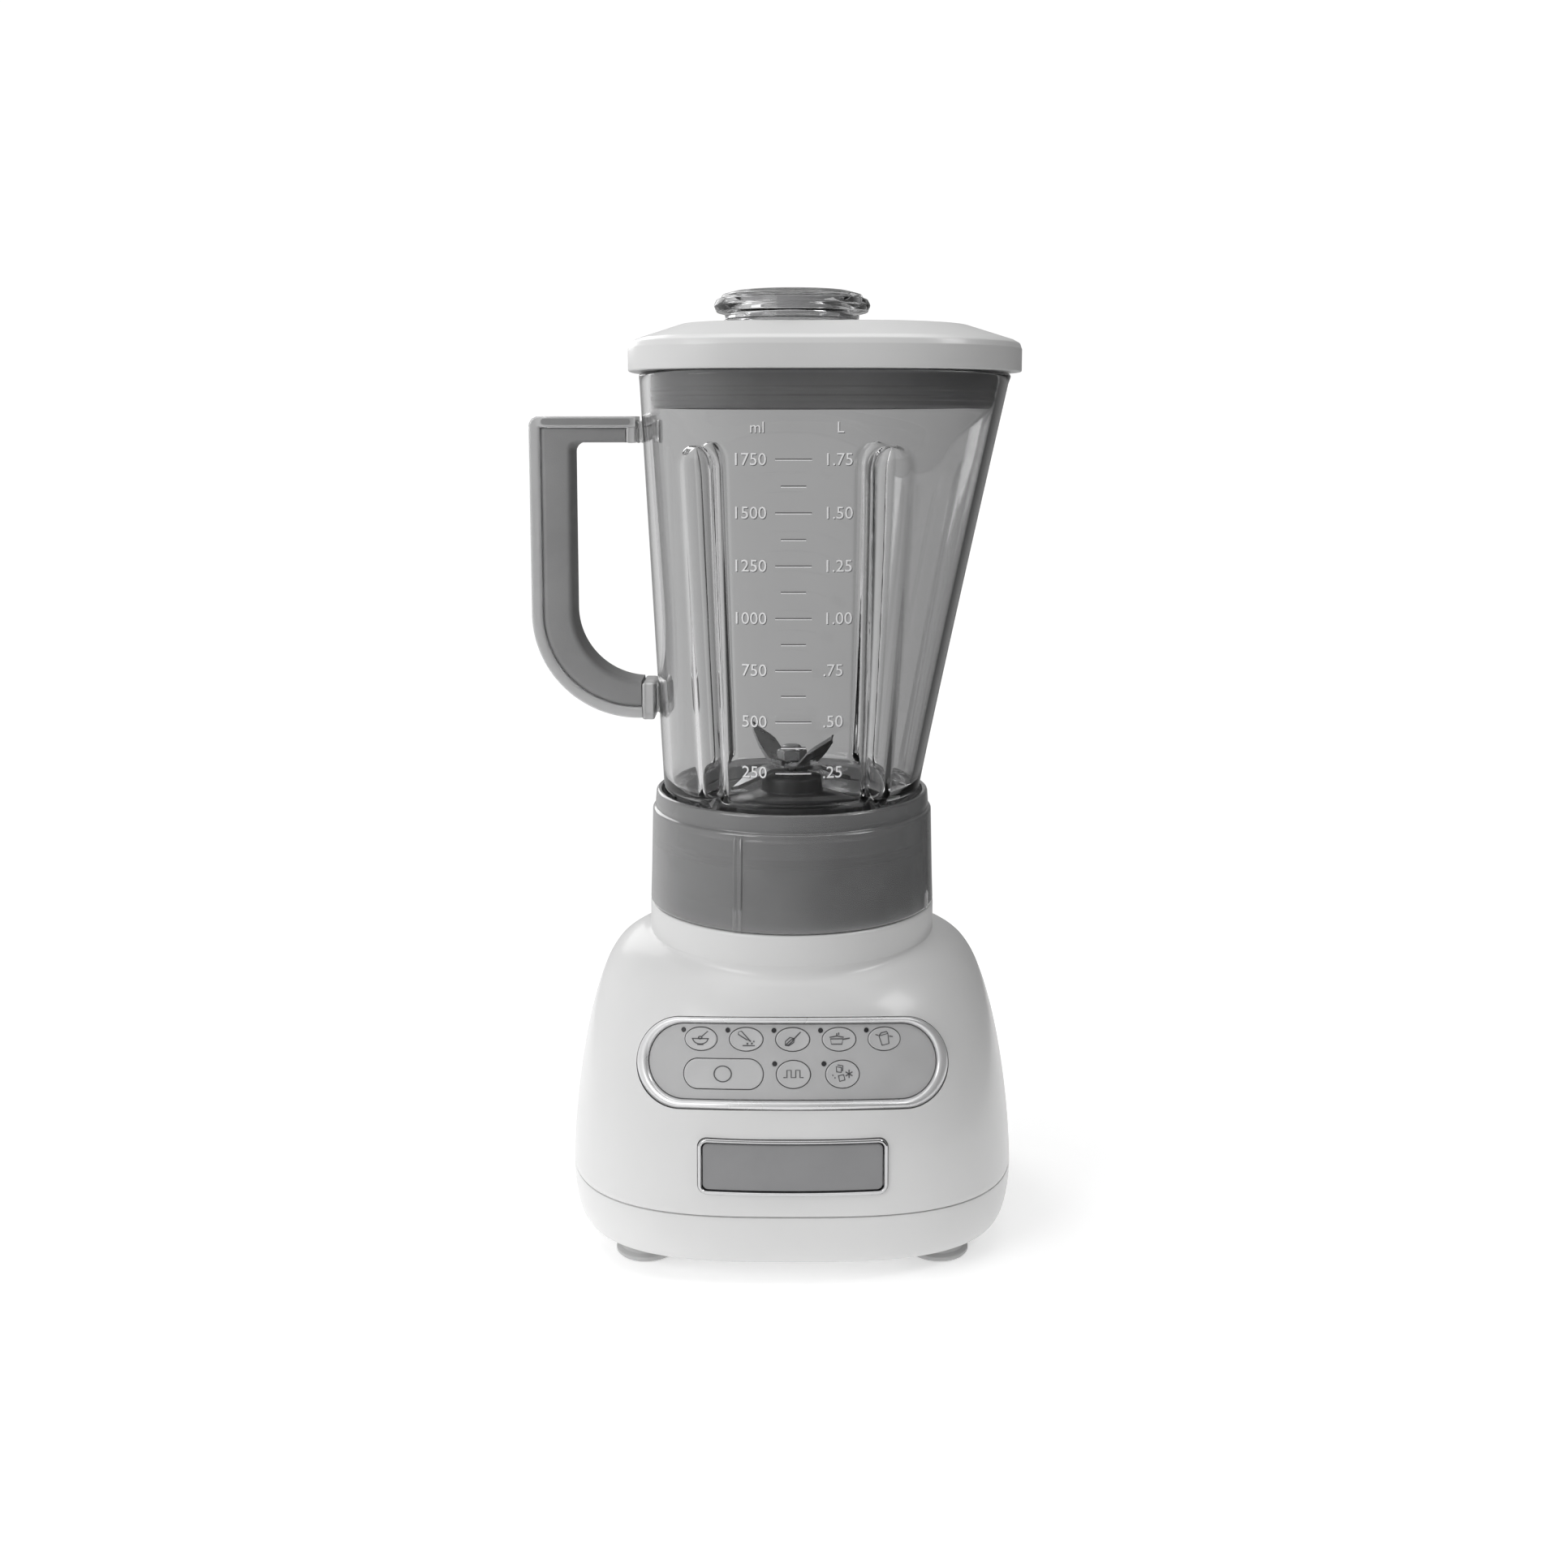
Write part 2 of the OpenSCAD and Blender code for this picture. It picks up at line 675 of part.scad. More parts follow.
module commutator() {
    color(copper) translate([0, 0, commutator_z]) difference() {
        cylinder(r = commutator_r, h = 11);
        translate([0, 0, -1]) cylinder(r = motor_shaft_r, h = 13);
        for (i = [0 : 2 * slot_count - 1]) rotate([0, 0, 15 * i])
            translate([commutator_r - 1, -0.25, -1]) cube([2, 0.5, 13]);
    }
}

fan_blades = 9;
fan_hub_r = 8;
fan_r = 28;
fan_h = 9;

module cooling_fan() {
    color([0.2, 0.2, 0.2]) translate([0, 0, fan_z]) {
        difference() {
            union() {
                cylinder(r = fan_hub_r, h = fan_h);
                cylinder(r = fan_r, h = 1.6);
                for (i = [0 : fan_blades - 1]) rotate([0, 0, 360 / fan_blades * i])
                    translate([fan_hub_r - 1, -0.8, 0]) cube([fan_r - fan_hub_r, 1.6, fan_h]);
            }
            translate([0, 0, -1]) cylinder(r = motor_shaft_r, h = fan_h + 3);
        }
    }
}

lug_count = 6;
lug_ring_r = 10;
drive_z = neck_z + 2;   // underside of the drive coupler

module drive_coupler() {
    color(rubber) translate([0, 0, drive_z]) {
        difference() {
            cylinder(r = 16, h = 7);
            translate([0, 0, -1]) cylinder(r = motor_shaft_r, h = 7);
        }
        for (i = [0 : lug_count - 1]) rotate([0, 0, 60 * i])
            translate([lug_ring_r, 0, 6.9]) cylinder(r = 2.4, h = 6.1);
    }
}

// ---- collar and blades ----

collar_z = neck_z + 0.3;
ledge_z = 164;
collar_wall = 3.3;
rib_angle = -111.5;     // first of the four grip ribs, seen from above

module locking_collar() {
    color(smoke) {
        rotate_extrude($fn = 96) polygon(concat(
            [
                [collar_r - collar_wall, collar_z], [collar_r, collar_z], [collar_r - 0.4, 150],
                [collar_r - 1.6, 181]
            ],
            [for (a = [0 : 15 : 90]) [collar_r - 4.6 + 3 * cos(a), collar_top - 5 + 5 * sin(a)]],
            [
                [56.9, collar_top], [56.9, ledge_z + 4], [46, ledge_z + 4], [46, ledge_z],
                [collar_r - collar_wall - 1, ledge_z]
            ]
        ));
        for (i = [0 : 3]) rotate([0, 0, rib_angle + 90 * i])
            translate([collar_r - 2.2, -2.2, collar_z]) cube([2.5, 4.4, 38]);
    }
}

plate_z = ledge_z + 4.1;        // underside of the blade housing's disc
bushing_r = 8;
tube_z = 160;                   // lower end of the housing's spindle tube

module blade_housing() {
    color([0.12, 0.12, 0.13]) difference() {
        rotate_extrude() polygon(concat(
            [
                [0, tube_z], [14, tube_z], [14, plate_z], [52, plate_z], [52, plate_z + 3],
                [33, plate_z + 3]
            ],
            [for (a = [0 : 15 : 75]) [12 + 18 * cos(a), plate_z + 6 + 10 * sin(a)]],
            [[13, plate_z + 18], [0, plate_z + 18]]
        ));
        translate([0, 0, tube_z - 1]) cylinder(r = 5.2, h = 60);
        translate([0, 0, tube_z - 1]) cylinder(r = bushing_r, h = 9);
        translate([0, 0, plate_z + 5]) cylinder(r = bushing_r, h = 60);
    }
}

module spindle_bushings() {
    color([0.70, 0.50, 0.25]) for (z = [tube_z + 0.2, plate_z + 5.1])
        translate([0, 0, z]) tube(bushing_r - 0.02, blade_shaft_r + running_fit, 7.6);
}

module spindle_seal() {
    color(rubber) translate([0, 0, plate_z + 13])
        tube(bushing_r - 0.05, blade_shaft_r + running_fit, 4.5);
}

module jar_gasket() {
    color(rubber) translate([0, 0, plate_z + 3.1]) tube(54, 44.5, 2.6);
}

hub_z = 195;            // underside of the lower blade at the shaft
blade_t = 1.6;
blade_w = 12;

module blade_shaft() {
    color(steel) {
        translate([0, 0, 152.5]) cylinder(r = blade_shaft_r, h = 51);
        translate([0, 0, plate_z + 18.4]) cylinder(r = 7, h = hub_z - plate_z - 18.5);
    }
}

// Both arms of a blade from the side: flat to root, then bent by angle out to reach.
module blade_side(root, reach, angle) {
    bent = (reach - root) * tan(angle);
    skin = blade_t / cos(angle);
    polygon([
        [-reach, bent], [-root, 0], [root, 0], [reach, bent],
        [reach, bent + skin], [root, blade_t], [-root, blade_t], [-reach, bent + skin]
    ]);
}

// The same blade from above, each arm narrowing to a tip with one slanted cutting edge.
module blade_plan(root, reach) {
    arm = [
        [root, -blade_w / 2], [(root + reach) / 2, -blade_w / 2], [reach, 1], [reach - 2, 4],
        [root + (reach - root) * 0.4, blade_w / 2]
    ];
    polygon(concat(arm, [for (p = arm) -p]));
}

module blade(z, root, reach, angle, turn) {
    color(steel) translate([0, 0, z]) rotate([0, 0, turn]) difference() {
        intersection() {
            translate([0, 20, 0]) rotate([90, 0, 0]) linear_extrude(40) blade_side(root, reach, angle);
            translate([0, 0, -30]) linear_extrude(60) blade_plan(root, reach);
        }
        translate([0, 0, -1]) cylinder(r = blade_shaft_r, h = blade_t + 2);
    }
}

module blade_lower() { blade(hub_z, 11, 28.3, -24, 20); }
module blade_upper() { blade(hub_z + blade_t + 0.9, 9, 23.6, 42, 132); }
module blade_spacer() {
    color(steel) translate([0, 0, hub_z + blade_t + 0.05]) tube(8, blade_shaft_r, 0.8);
}

module blade_nut() {
    color(steel) translate([0, 0, hub_z + 2 * blade_t + 1]) difference() {
        union() {
            cylinder(r = 6.5, h = 4.5, $fn = 6);
            translate([0, 0, 4.4]) cylinder(r1 = 5.2, r2 = 3.4, h = 2);
        }
        translate([0, 0, -1]) cylinder(r = blade_shaft_r, h = 6);
    }
}

module driven_coupler() {
    color(rubber) translate([0, 0, drive_z + 8.5]) difference() {
        cylinder(r = 15, h = 9);
        translate([0, 0, 4]) cylinder(r = blade_shaft_r, h = 10);
        for (i = [0 : lug_count - 1]) rotate([0, 0, 60 * i])
            translate([lug_ring_r, 0, -1]) cylinder(r = 2.9, h = 6.5);
    }
}

// ---- jar ----

jar_foot_z = plate_z + 6;       // rim that presses on the gasket

// Share of the way from the collar to the rim.
function up(z) = max(0, min(1, (z - 190) / (jar_rim_z - 190)));
// Bump of height 1 and half width w degrees, centred on a.
function bump(t, a, w) =
    let (d = abs(((t - a + 540) % 360) - 180)) d >= w ? 0 : (1 + cos(180 * d / w)) / 2;
// How deep the flutes are at height z, running out smoothly at both ends.
function flute(z) =
    flute_depth * (z >= flute_top ? 0 : z > flute_top - 14
        ? sqrt(1 - pow((z - flute_top + 14) / 14, 2)) : min(1, max(0, (z - 186) / 8)));
// Directions of the front and back flutes on the spout side and on the handle side.
function flute_spout_side(z) = 52 + 6 * up(z);
function flute_handle_side(z) = 126 - 1.3 * up(z);
function flute_bumps(t, z) =
    let (f = flute_spout_side(z), g = flute_handle_side(z), w = 7)
        bump(t, f, w) + bump(t, -f, w) + bump(t, g, w) + bump(t, -g, w);
function jar_r(t, z, inset) =
    let (
        a = jar_low_r + (jar_rim_r - jar_low_r) * up(z),
        n = 2.1 + 0.7 * up(z),
        c = abs(cos(t)),
        s = abs(sin(t)),
        spout = spout_reach * pow(up(z), 1.05) * pow(max(0, cos(t)), 2.6),
        cuts = flute(z) * flute_bumps(t, z)
    )
    a / pow(pow(c, n) + pow(s, n), 1 / n) + spout - cuts - inset;
function jar_ring(z, inset) = [
    for (i = [0 : jar_points - 1]) let (t = 360 * (i + 0.5) / jar_points, r = jar_r(t, z, inset))
        [r * cos(t), r * sin(t), z]
];
function round_ring(r, z) = [
    for (i = [0 : jar_points - 1]) let (t = 360 * (i + 0.5) / jar_points) [r * cos(t), r * sin(t), z]
];

jar_heights = [190, 194, 205, 240, 280, flute_top - 14, flute_top - 9, flute_top - 4,
    flute_top, 346, jar_rim_z];

module jar_body() {
    color(clear) shell() difference() {
        loft(concat(
            [round_ring(54, jar_foot_z), round_ring(54, 181), round_ring(jar_low_r - 0.3, 184)],
            [for (z = jar_heights) jar_ring(z, 0)]
        ));
        loft(concat(
            [round_ring(46, jar_foot_z - 2), round_ring(46, 180), round_ring(48, 186)],
            [for (z = jar_heights) if (z > 190) jar_ring(z, jar_wall)],
            [[for (p = jar_ring(jar_rim_z, jar_wall)) [p[0], p[1], jar_rim_z + 5]]]
        ));
    }
}

grip_inset = 4.6;       // width of the handle's clear outer rim
arc_z = 264;            // height where the limb starts to bend in
limb_top = 347.6;       // top of the upper limb
limb_h = 11;            // height of the upper limb
bend_x = 66;            // middle of the outer bend, from the axis
gap_bend_x = 63;        // middle of the finger gap's bend
handle_end = 64;        // where both limbs end, next to the jar
stud_w = 14;            // width of the studs that join the limbs to the jar
top_stud_x = -82;       // outer end of the upper stud
low_stud_x = -72;       // outer end of the lower stud
low_stud_z = 220;       // underside of the lower stud

// Side outline of the handle, in X and Z, kept inset from its outer edge.
module handle_outline(inset) {
    r = handle_x - bend_x - inset;
    difference() {
        union() {
            translate([inset - handle_x, arc_z]) square([90, limb_top - inset - arc_z]);
            translate([-bend_x, arc_z]) circle(r, $fn = 96);
            translate([-bend_x, arc_z - r]) square([20, r]);
        }
        translate([-handle_end, 200]) square([80, 200]);
    }
}

module finger_gap() {
    x1 = handle_t - handle_x;
    r = -gap_bend_x - x1;
    translate([x1, arc_z]) square([60, limb_top - limb_h - arc_z]);
    translate([-gap_bend_x, arc_z + 1]) circle(r, $fn = 96);
    translate([-gap_bend_x, arc_z + 1 - r]) square([20, r + 2]);
}

// The handle's own shape between two insets from its outer edge, w wide.
module handle_band(from, to, w) {
    translate([0, w / 2, 0]) rotate([90, 0, 0]) linear_extrude(w) difference() {
        handle_outline(from);
        if (to > 0) handle_outline(to);
        finger_gap();
    }
}

// Studs that carry the handle on the jar, one inside each limb.
module studs() {
    translate([top_stud_x, -stud_w / 2, limb_top - limb_h + 1.2])
        cube([-62.6 - top_stud_x, stud_w, limb_h - 2.4]);
    translate([low_stud_x, -stud_w / 2, low_stud_z]) cube([-56.6 - low_stud_x, stud_w, 13.5]);
}

module handle_frame() {
    color(clear) {
        handle_band(0, grip_inset, handle_w);
        studs();
    }
}

module handle_grip() {
    color(grip_grey) difference() {
        handle_band(grip_inset + touch, 0, handle_w - 1.2);
        translate([-84, -stud_w / 2 - touch, 200]) cube([40, stud_w + 2 * touch, 160]);
    }
}

// ---- lid and cap ----

lid_z = jar_rim_z + 0.3;
lid_wall = 3;
cap_gap = 0.4;
cap_low = 354;          // lower edge of the measuring cap

// Heights up the lid's outside, each with how far the outline has drawn in from its edge.
lid_profile = [
    [lid_z, 0.4], [lid_z + 1, 0], [lid_z + 7.5, 0], [lid_z + 9.5, 0.8], [lid_z + 11, 2.6],
    [lid_z + 12.6, 5.6], [lid_z + 14, 9.3], [lid_z + 16.5, 17], [lid_z + 18, 22],
    [lid_z + 19.2, 28], [lid_top, 38]
];

function lid_ring(z, grow) = [for (p = jar_ring(jar_rim_z, -grow)) [p[0], p[1], z]];

module lid() {
    color(white) shell() difference() {
        union() {
            difference() {
                loft([for (p = lid_profile) lid_ring(p[0], lid_over - p[1])]);
                loft([
                    lid_ring(lid_z - 1, -jar_wall - 4), lid_ring(lid_z + 8, -jar_wall - 4),
                    lid_ring(lid_z + 14.5, -jar_wall - 16), lid_ring(lid_top - lid_wall, -jar_wall - 30)
                ]);
            }
            // wall that carries the seal
            difference() {
                loft([
                    jar_ring(352, jar_wall + 3.5), jar_ring(jar_rim_z, jar_wall + 3.5),
                    lid_ring(lid_z + 1, -jar_wall - 3.5)
                ]);
                loft([jar_ring(351, jar_wall + 6), jar_ring(lid_z + 2, jar_wall + 6)]);
            }
            translate([0, 0, 358]) cylinder(r = cap_r + cap_gap + 2.4, h = 26);
        }
        translate([0, 0, 340]) cylinder(r = cap_r + cap_gap, h = 60);
    }
}

// Heights up the seal, each with its gap to the inside of the jar's wall: a lip and a straight band.
seal_profile = [
    [350.8, 1.6], [352, 0.8], [353.6, 0.8], [354.2, 0.35], [355.4, 0.35], [356, 0.8],
    [jar_rim_z + 0.1, 0.8]
];

module lid_seal() {
    color(grip_grey) shell() difference() {
        loft([for (p = seal_profile) jar_ring(p[0], jar_wall + p[1])]);
        loft([
            jar_ring(349, jar_wall + 3.3), jar_ring(352, jar_wall + 3.3),
            jar_ring(jar_rim_z, jar_wall + 3.3), lid_ring(lid_z + 2, -jar_wall - 3.3)
        ]);
    }
}

module measuring_cap() {
    color(clear) rotate_extrude($fn = 96) polygon(concat(
        [[0, 400], [20, 400], [28.5, 398.2]],
        [for (a = [60 : -20 : -60]) [cap_flange_r - 2.2 + 2.2 * cos(a), 393.4 + 2.8 * sin(a)]],
        [
            [28.4, 390.4], [28.4, lid_top + 0.3 + 1.5], [cap_flange_r - 4.4, lid_top + 0.3],
            [cap_r, lid_top + 0.3], [cap_r - 1.2, cap_low], [cap_r - 4, cap_low],
            [cap_r - 3, 386], [cap_r - 5, 396], [0, 397]
        ]
    ));
}

upper_housing();
lower_housing();
feet();
base_screws();
jar_seat_pad();
cord_gland();
control_bezel();
control_panel();
button_board();
tact_switches();
led_indicators();
badge_frame();
badge_plate();
button_stir();
button_chop();
button_mix();
button_puree();
button_liquefy();
button_off();
button_pulse();
button_ice();
stator_core();
stator_coils();
motor_bracket_upper();
motor_bracket_lower();
motor_mounts();
bearing_upper();
bearing_lower();
brush_holders();
carbon_brushes();
brush_springs();
speed_board();
power_board_parts();
motor_shaft();
armature_core();
armature_windings();
commutator();
cooling_fan();
drive_coupler();
locking_collar();
blade_housing();
jar_gasket();
spindle_bushings();
spindle_seal();
blade_shaft();
blade_upper();
blade_lower();
blade_spacer();
blade_nut();
driven_coupler();
jar_body();
handle_frame();
handle_grip();
lid();
lid_seal();
measuring_cap();
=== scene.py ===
import json
import math

import bmesh
import bpy
from mathutils import Matrix, Vector


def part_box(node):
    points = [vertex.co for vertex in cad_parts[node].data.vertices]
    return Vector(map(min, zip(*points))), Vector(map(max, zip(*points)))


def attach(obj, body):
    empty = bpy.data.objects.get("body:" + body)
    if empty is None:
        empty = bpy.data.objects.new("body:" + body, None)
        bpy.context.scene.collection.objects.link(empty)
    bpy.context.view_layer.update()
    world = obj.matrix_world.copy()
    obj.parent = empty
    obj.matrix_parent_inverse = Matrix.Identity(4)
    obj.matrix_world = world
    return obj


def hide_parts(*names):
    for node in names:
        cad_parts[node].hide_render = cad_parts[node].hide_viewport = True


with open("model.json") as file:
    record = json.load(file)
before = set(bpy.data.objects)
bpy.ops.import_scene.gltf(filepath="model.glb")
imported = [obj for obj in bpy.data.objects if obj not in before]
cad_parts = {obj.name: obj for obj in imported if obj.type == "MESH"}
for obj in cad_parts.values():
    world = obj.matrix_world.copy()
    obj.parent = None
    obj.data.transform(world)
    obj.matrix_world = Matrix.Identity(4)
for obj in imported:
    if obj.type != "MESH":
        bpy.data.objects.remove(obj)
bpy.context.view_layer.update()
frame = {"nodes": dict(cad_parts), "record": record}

# Lengths in this script are millimetres until mesh_object() turns them into metres.
MM = 0.001
SHARP = 35          # degrees between faces that shade as an edge


def box_mm(node):
    low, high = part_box(node)
    return low / MM, high / MM


# ---- mesh building ----

def mesh_object(name, verts, faces, sharp=SHARP, merge=True):
    """Smooth-shaded object from points in millimetres, linked into the scene."""
    mesh = bpy.data.meshes.new(name)
    mesh.from_pydata([(x * MM, y * MM, z * MM) for x, y, z in verts], [], faces)
    bm = bmesh.new()
    bm.from_mesh(mesh)
    if merge:
        bmesh.ops.remove_doubles(bm, verts=bm.verts, dist=2e-6)
    bmesh.ops.recalc_face_normals(bm, faces=bm.faces)
    bm.to_mesh(mesh)
    bm.free()
    for polygon in mesh.polygons:
        polygon.use_smooth = True
    mesh.set_sharp_from_angle(angle=math.radians(sharp))
    obj = bpy.data.objects.new(name, mesh)
    bpy.context.scene.collection.objects.link(obj)
    return obj


def loft(rings, wrap=False, caps=True):
    """Faces between closed rings of equal length: capped at both ends, or wrapped into a tube."""
    n = len(rings[0])
    verts = [p for ring in rings for p in ring]
    count = len(rings)
    faces = []
    for i in range(count if wrap else count - 1):
        a, b = i * n, ((i + 1) % count) * n
        for j in range(n):
            k = (j + 1) % n
            faces.append((a + j, a + k, b + k, b + j))
    if not wrap and caps:
        faces.append(tuple(reversed(range(n))))
        faces.append(tuple(range((count - 1) * n, count * n)))
    return verts, faces


def prism(shape, *levels):
    """Straight solid with the flat outline shape at each of the levels."""
    return loft([[(x, y, z) for x, y in shape] for z in levels])


def join(*parts):
    verts, faces = [], []
    for part_verts, part_faces in parts:
        base = len(verts)
        verts += part_verts
        faces += [tuple(i + base for i in f) for f in part_faces]
    return verts, faces


def moved(part, matrix):
    return [tuple(matrix @ Vector(p)) for p in part[0]], part[1]


def arc_points(points, steps):
    """Closed or open polyline of (x, y, radius) with its corners rounded, as (x, y) points."""
    out = []
    count = len(points)
    for i, (x, y, r) in enumerate(points):
        if r <= 0:
            out.append((x, y))
            continue
        p = Vector((x, y))
        a = Vector(points[i - 1][:2]) - p
        b = Vector(points[(i + 1) % count][:2]) - p
        half = a.angle(b) / 2
        reach = min(r / math.tan(half), a.length * 0.49, b.length * 0.49)
        r = reach * math.tan(half)
        a.normalize()
        b.normalize()
        centre = p + (a + b).normalized() * (r / math.sin(half))
        start = p + a * reach - centre
        end = p + b * reach - centre
        turn = start.angle_signed(end)
        for s in range(steps + 1):
            t = -turn * s / steps
            c, sn = math.cos(t), math.sin(t)
            q = Vector((start.x * c - start.y * sn, start.x * sn + start.y * c)) + centre
            out.append((q.x, q.y))
    return out


def lathe(profile, count, steps=5):
    """Closed (r, z, rounding) profile turned round the Z axis. Points at r = 0 meet on the axis."""
    points = arc_points(profile, steps)
    angles = [2 * math.pi * i / count for i in range(count)]
    rings = [[(r * math.cos(t), r * math.sin(t), z) for t in angles] for r, z in points]
    on_axis = points[0][0] == 0 and points[-1][0] == 0
    return loft(rings, wrap=not on_axis, caps=False)


def outline(w, h, r, inset=0.0, corner=14, side=10, end=4):
    """Rounded rectangle with the same number of points at every inset."""
    w, h = w / 2 - inset, h / 2 - inset
    r = max(min(r - inset, h), 0.0)
    points = []
    corners = ((1, 1, 0), (-1, 1, 90), (-1, -1, 180), (1, -1, 270))
    for index, (sx, sy, start) in enumerate(corners):
        cx, cy = sx * (w - r), sy * (h - r)
        for i in range(corner + 1):
            t = math.radians(start + 90 * i / corner)
            points.append((cx + r * math.cos(t), cy + r * math.sin(t)))
        nx, ny, _ = corners[(index + 1) % 4]
        steps = side if index % 2 == 0 else end
        t = math.radians(start + 90)
        ax, ay = cx + r * math.cos(t), cy + r * math.sin(t)
        bx, by = nx * (w - r) + r * math.cos(t), ny * (h - r) + r * math.sin(t)
        for i in range(1, steps):
            f = i / steps
            points.append((ax + (bx - ax) * f, ay + (by - ay) * f))
    return points


def ellipse(a, b, count=64):
    return [(a * math.cos(2 * math.pi * i / count), b * math.sin(2 * math.pi * i / count))
            for i in range(count)]


def cut(obj, part):
    """Subtracts a closed mesh from an object and applies the result."""
    tool = mesh_object("cutter", *part)
    modifier = obj.modifiers.new("cut", "BOOLEAN")
    modifier.operation = "DIFFERENCE"
    modifier.solver = "EXACT"
    modifier.object = tool
    bpy.context.view_layer.update()
    graph = bpy.context.evaluated_depsgraph_get()
    mesh = bpy.data.meshes.new_from_object(obj.evaluated_get(graph))
    obj.modifiers.clear()
    obj.data = mesh
    for polygon in mesh.polygons:
        polygon.use_smooth = True
    mesh.set_sharp_from_angle(angle=math.radians(SHARP))
    bpy.data.objects.remove(tool)


def bevel(obj, width, segments):
    modifier = obj.modifiers.new("bevel", "BEVEL")
    modifier.width = width * MM
    modifier.segments = segments
    modifier.limit_method = "ANGLE"
    modifier.angle_limit = math.radians(SHARP)
    modifier.harden_normals = True
    return obj


def clamp(v, low=0.0, high=1.0):
    return max(low, min(high, v))


# ---- materials ----

def ramp(tree, source, low, high, at_low=0.35, at_high=0.65):
    node = tree.nodes.new("ShaderNodeMapRange")
    node.inputs["From Min"].default_value = at_low
    node.inputs["From Max"].default_value = at_high
    node.inputs["To Min"].default_value = low
    node.inputs["To Max"].default_value = high
    tree.links.new(source, node.inputs["Value"])
    return node.outputs["Result"]


def material(name, colour, rough, vary, patch=60.0, grain=1500.0, bump=0.0, depth=0.0002,
             rough_vary=0.04, stretch=(1, 1, 1), **fixed):
    """Principled material whose colour and roughness drift over patches and whose bump has a grain."""
    mat = bpy.data.materials.new(name)
    mat.use_nodes = True
    tree = mat.node_tree
    shader = tree.nodes["Principled BSDF"]
    for key, value in fixed.items():
        shader.inputs[key.replace("_", " ")].default_value = value
    place = tree.nodes.new("ShaderNodeTexCoord").outputs["Object"]
    mapping = tree.nodes.new("ShaderNodeMapping")
    mapping.inputs["Scale"].default_value = stretch
    tree.links.new(place, mapping.inputs["Vector"])
    place = mapping.outputs["Vector"]
    broad = tree.nodes.new("ShaderNodeTexNoise")
    broad.inputs["Scale"].default_value = patch
    broad.inputs["Detail"].default_value = 3.0
    tree.links.new(place, broad.inputs["Vector"])
    mix = tree.nodes.new("ShaderNodeMix")
    mix.data_type = "RGBA"
    mix.inputs["A"].default_value = (*[max(c * (1 - vary), 0) for c in colour], 1)
    mix.inputs["B"].default_value = (*[min(c * (1 + vary), 1) for c in colour], 1)
    tree.links.new(ramp(tree, broad.outputs["Fac"], 0, 1), mix.inputs["Factor"])
    tree.links.new(mix.outputs["Result"], shader.inputs["Base Color"])
    tree.links.new(
        ramp(tree, broad.outputs["Fac"], max(rough - rough_vary, 0), rough + rough_vary),
        shader.inputs["Roughness"])
    if bump:
        fine = tree.nodes.new("ShaderNodeTexNoise")
        fine.inputs["Scale"].default_value = grain
        fine.inputs["Detail"].default_value = 2.0
        tree.links.new(place, fine.inputs["Vector"])
        node = tree.nodes.new("ShaderNodeBump")
        node.inputs["Strength"].default_value = bump
        node.inputs["Distance"].default_value = depth
        tree.links.new(fine.outputs["Fac"], node.inputs["Height"])
        tree.links.new(node.outputs["Normal"], shader.inputs["Normal"])
    return mat


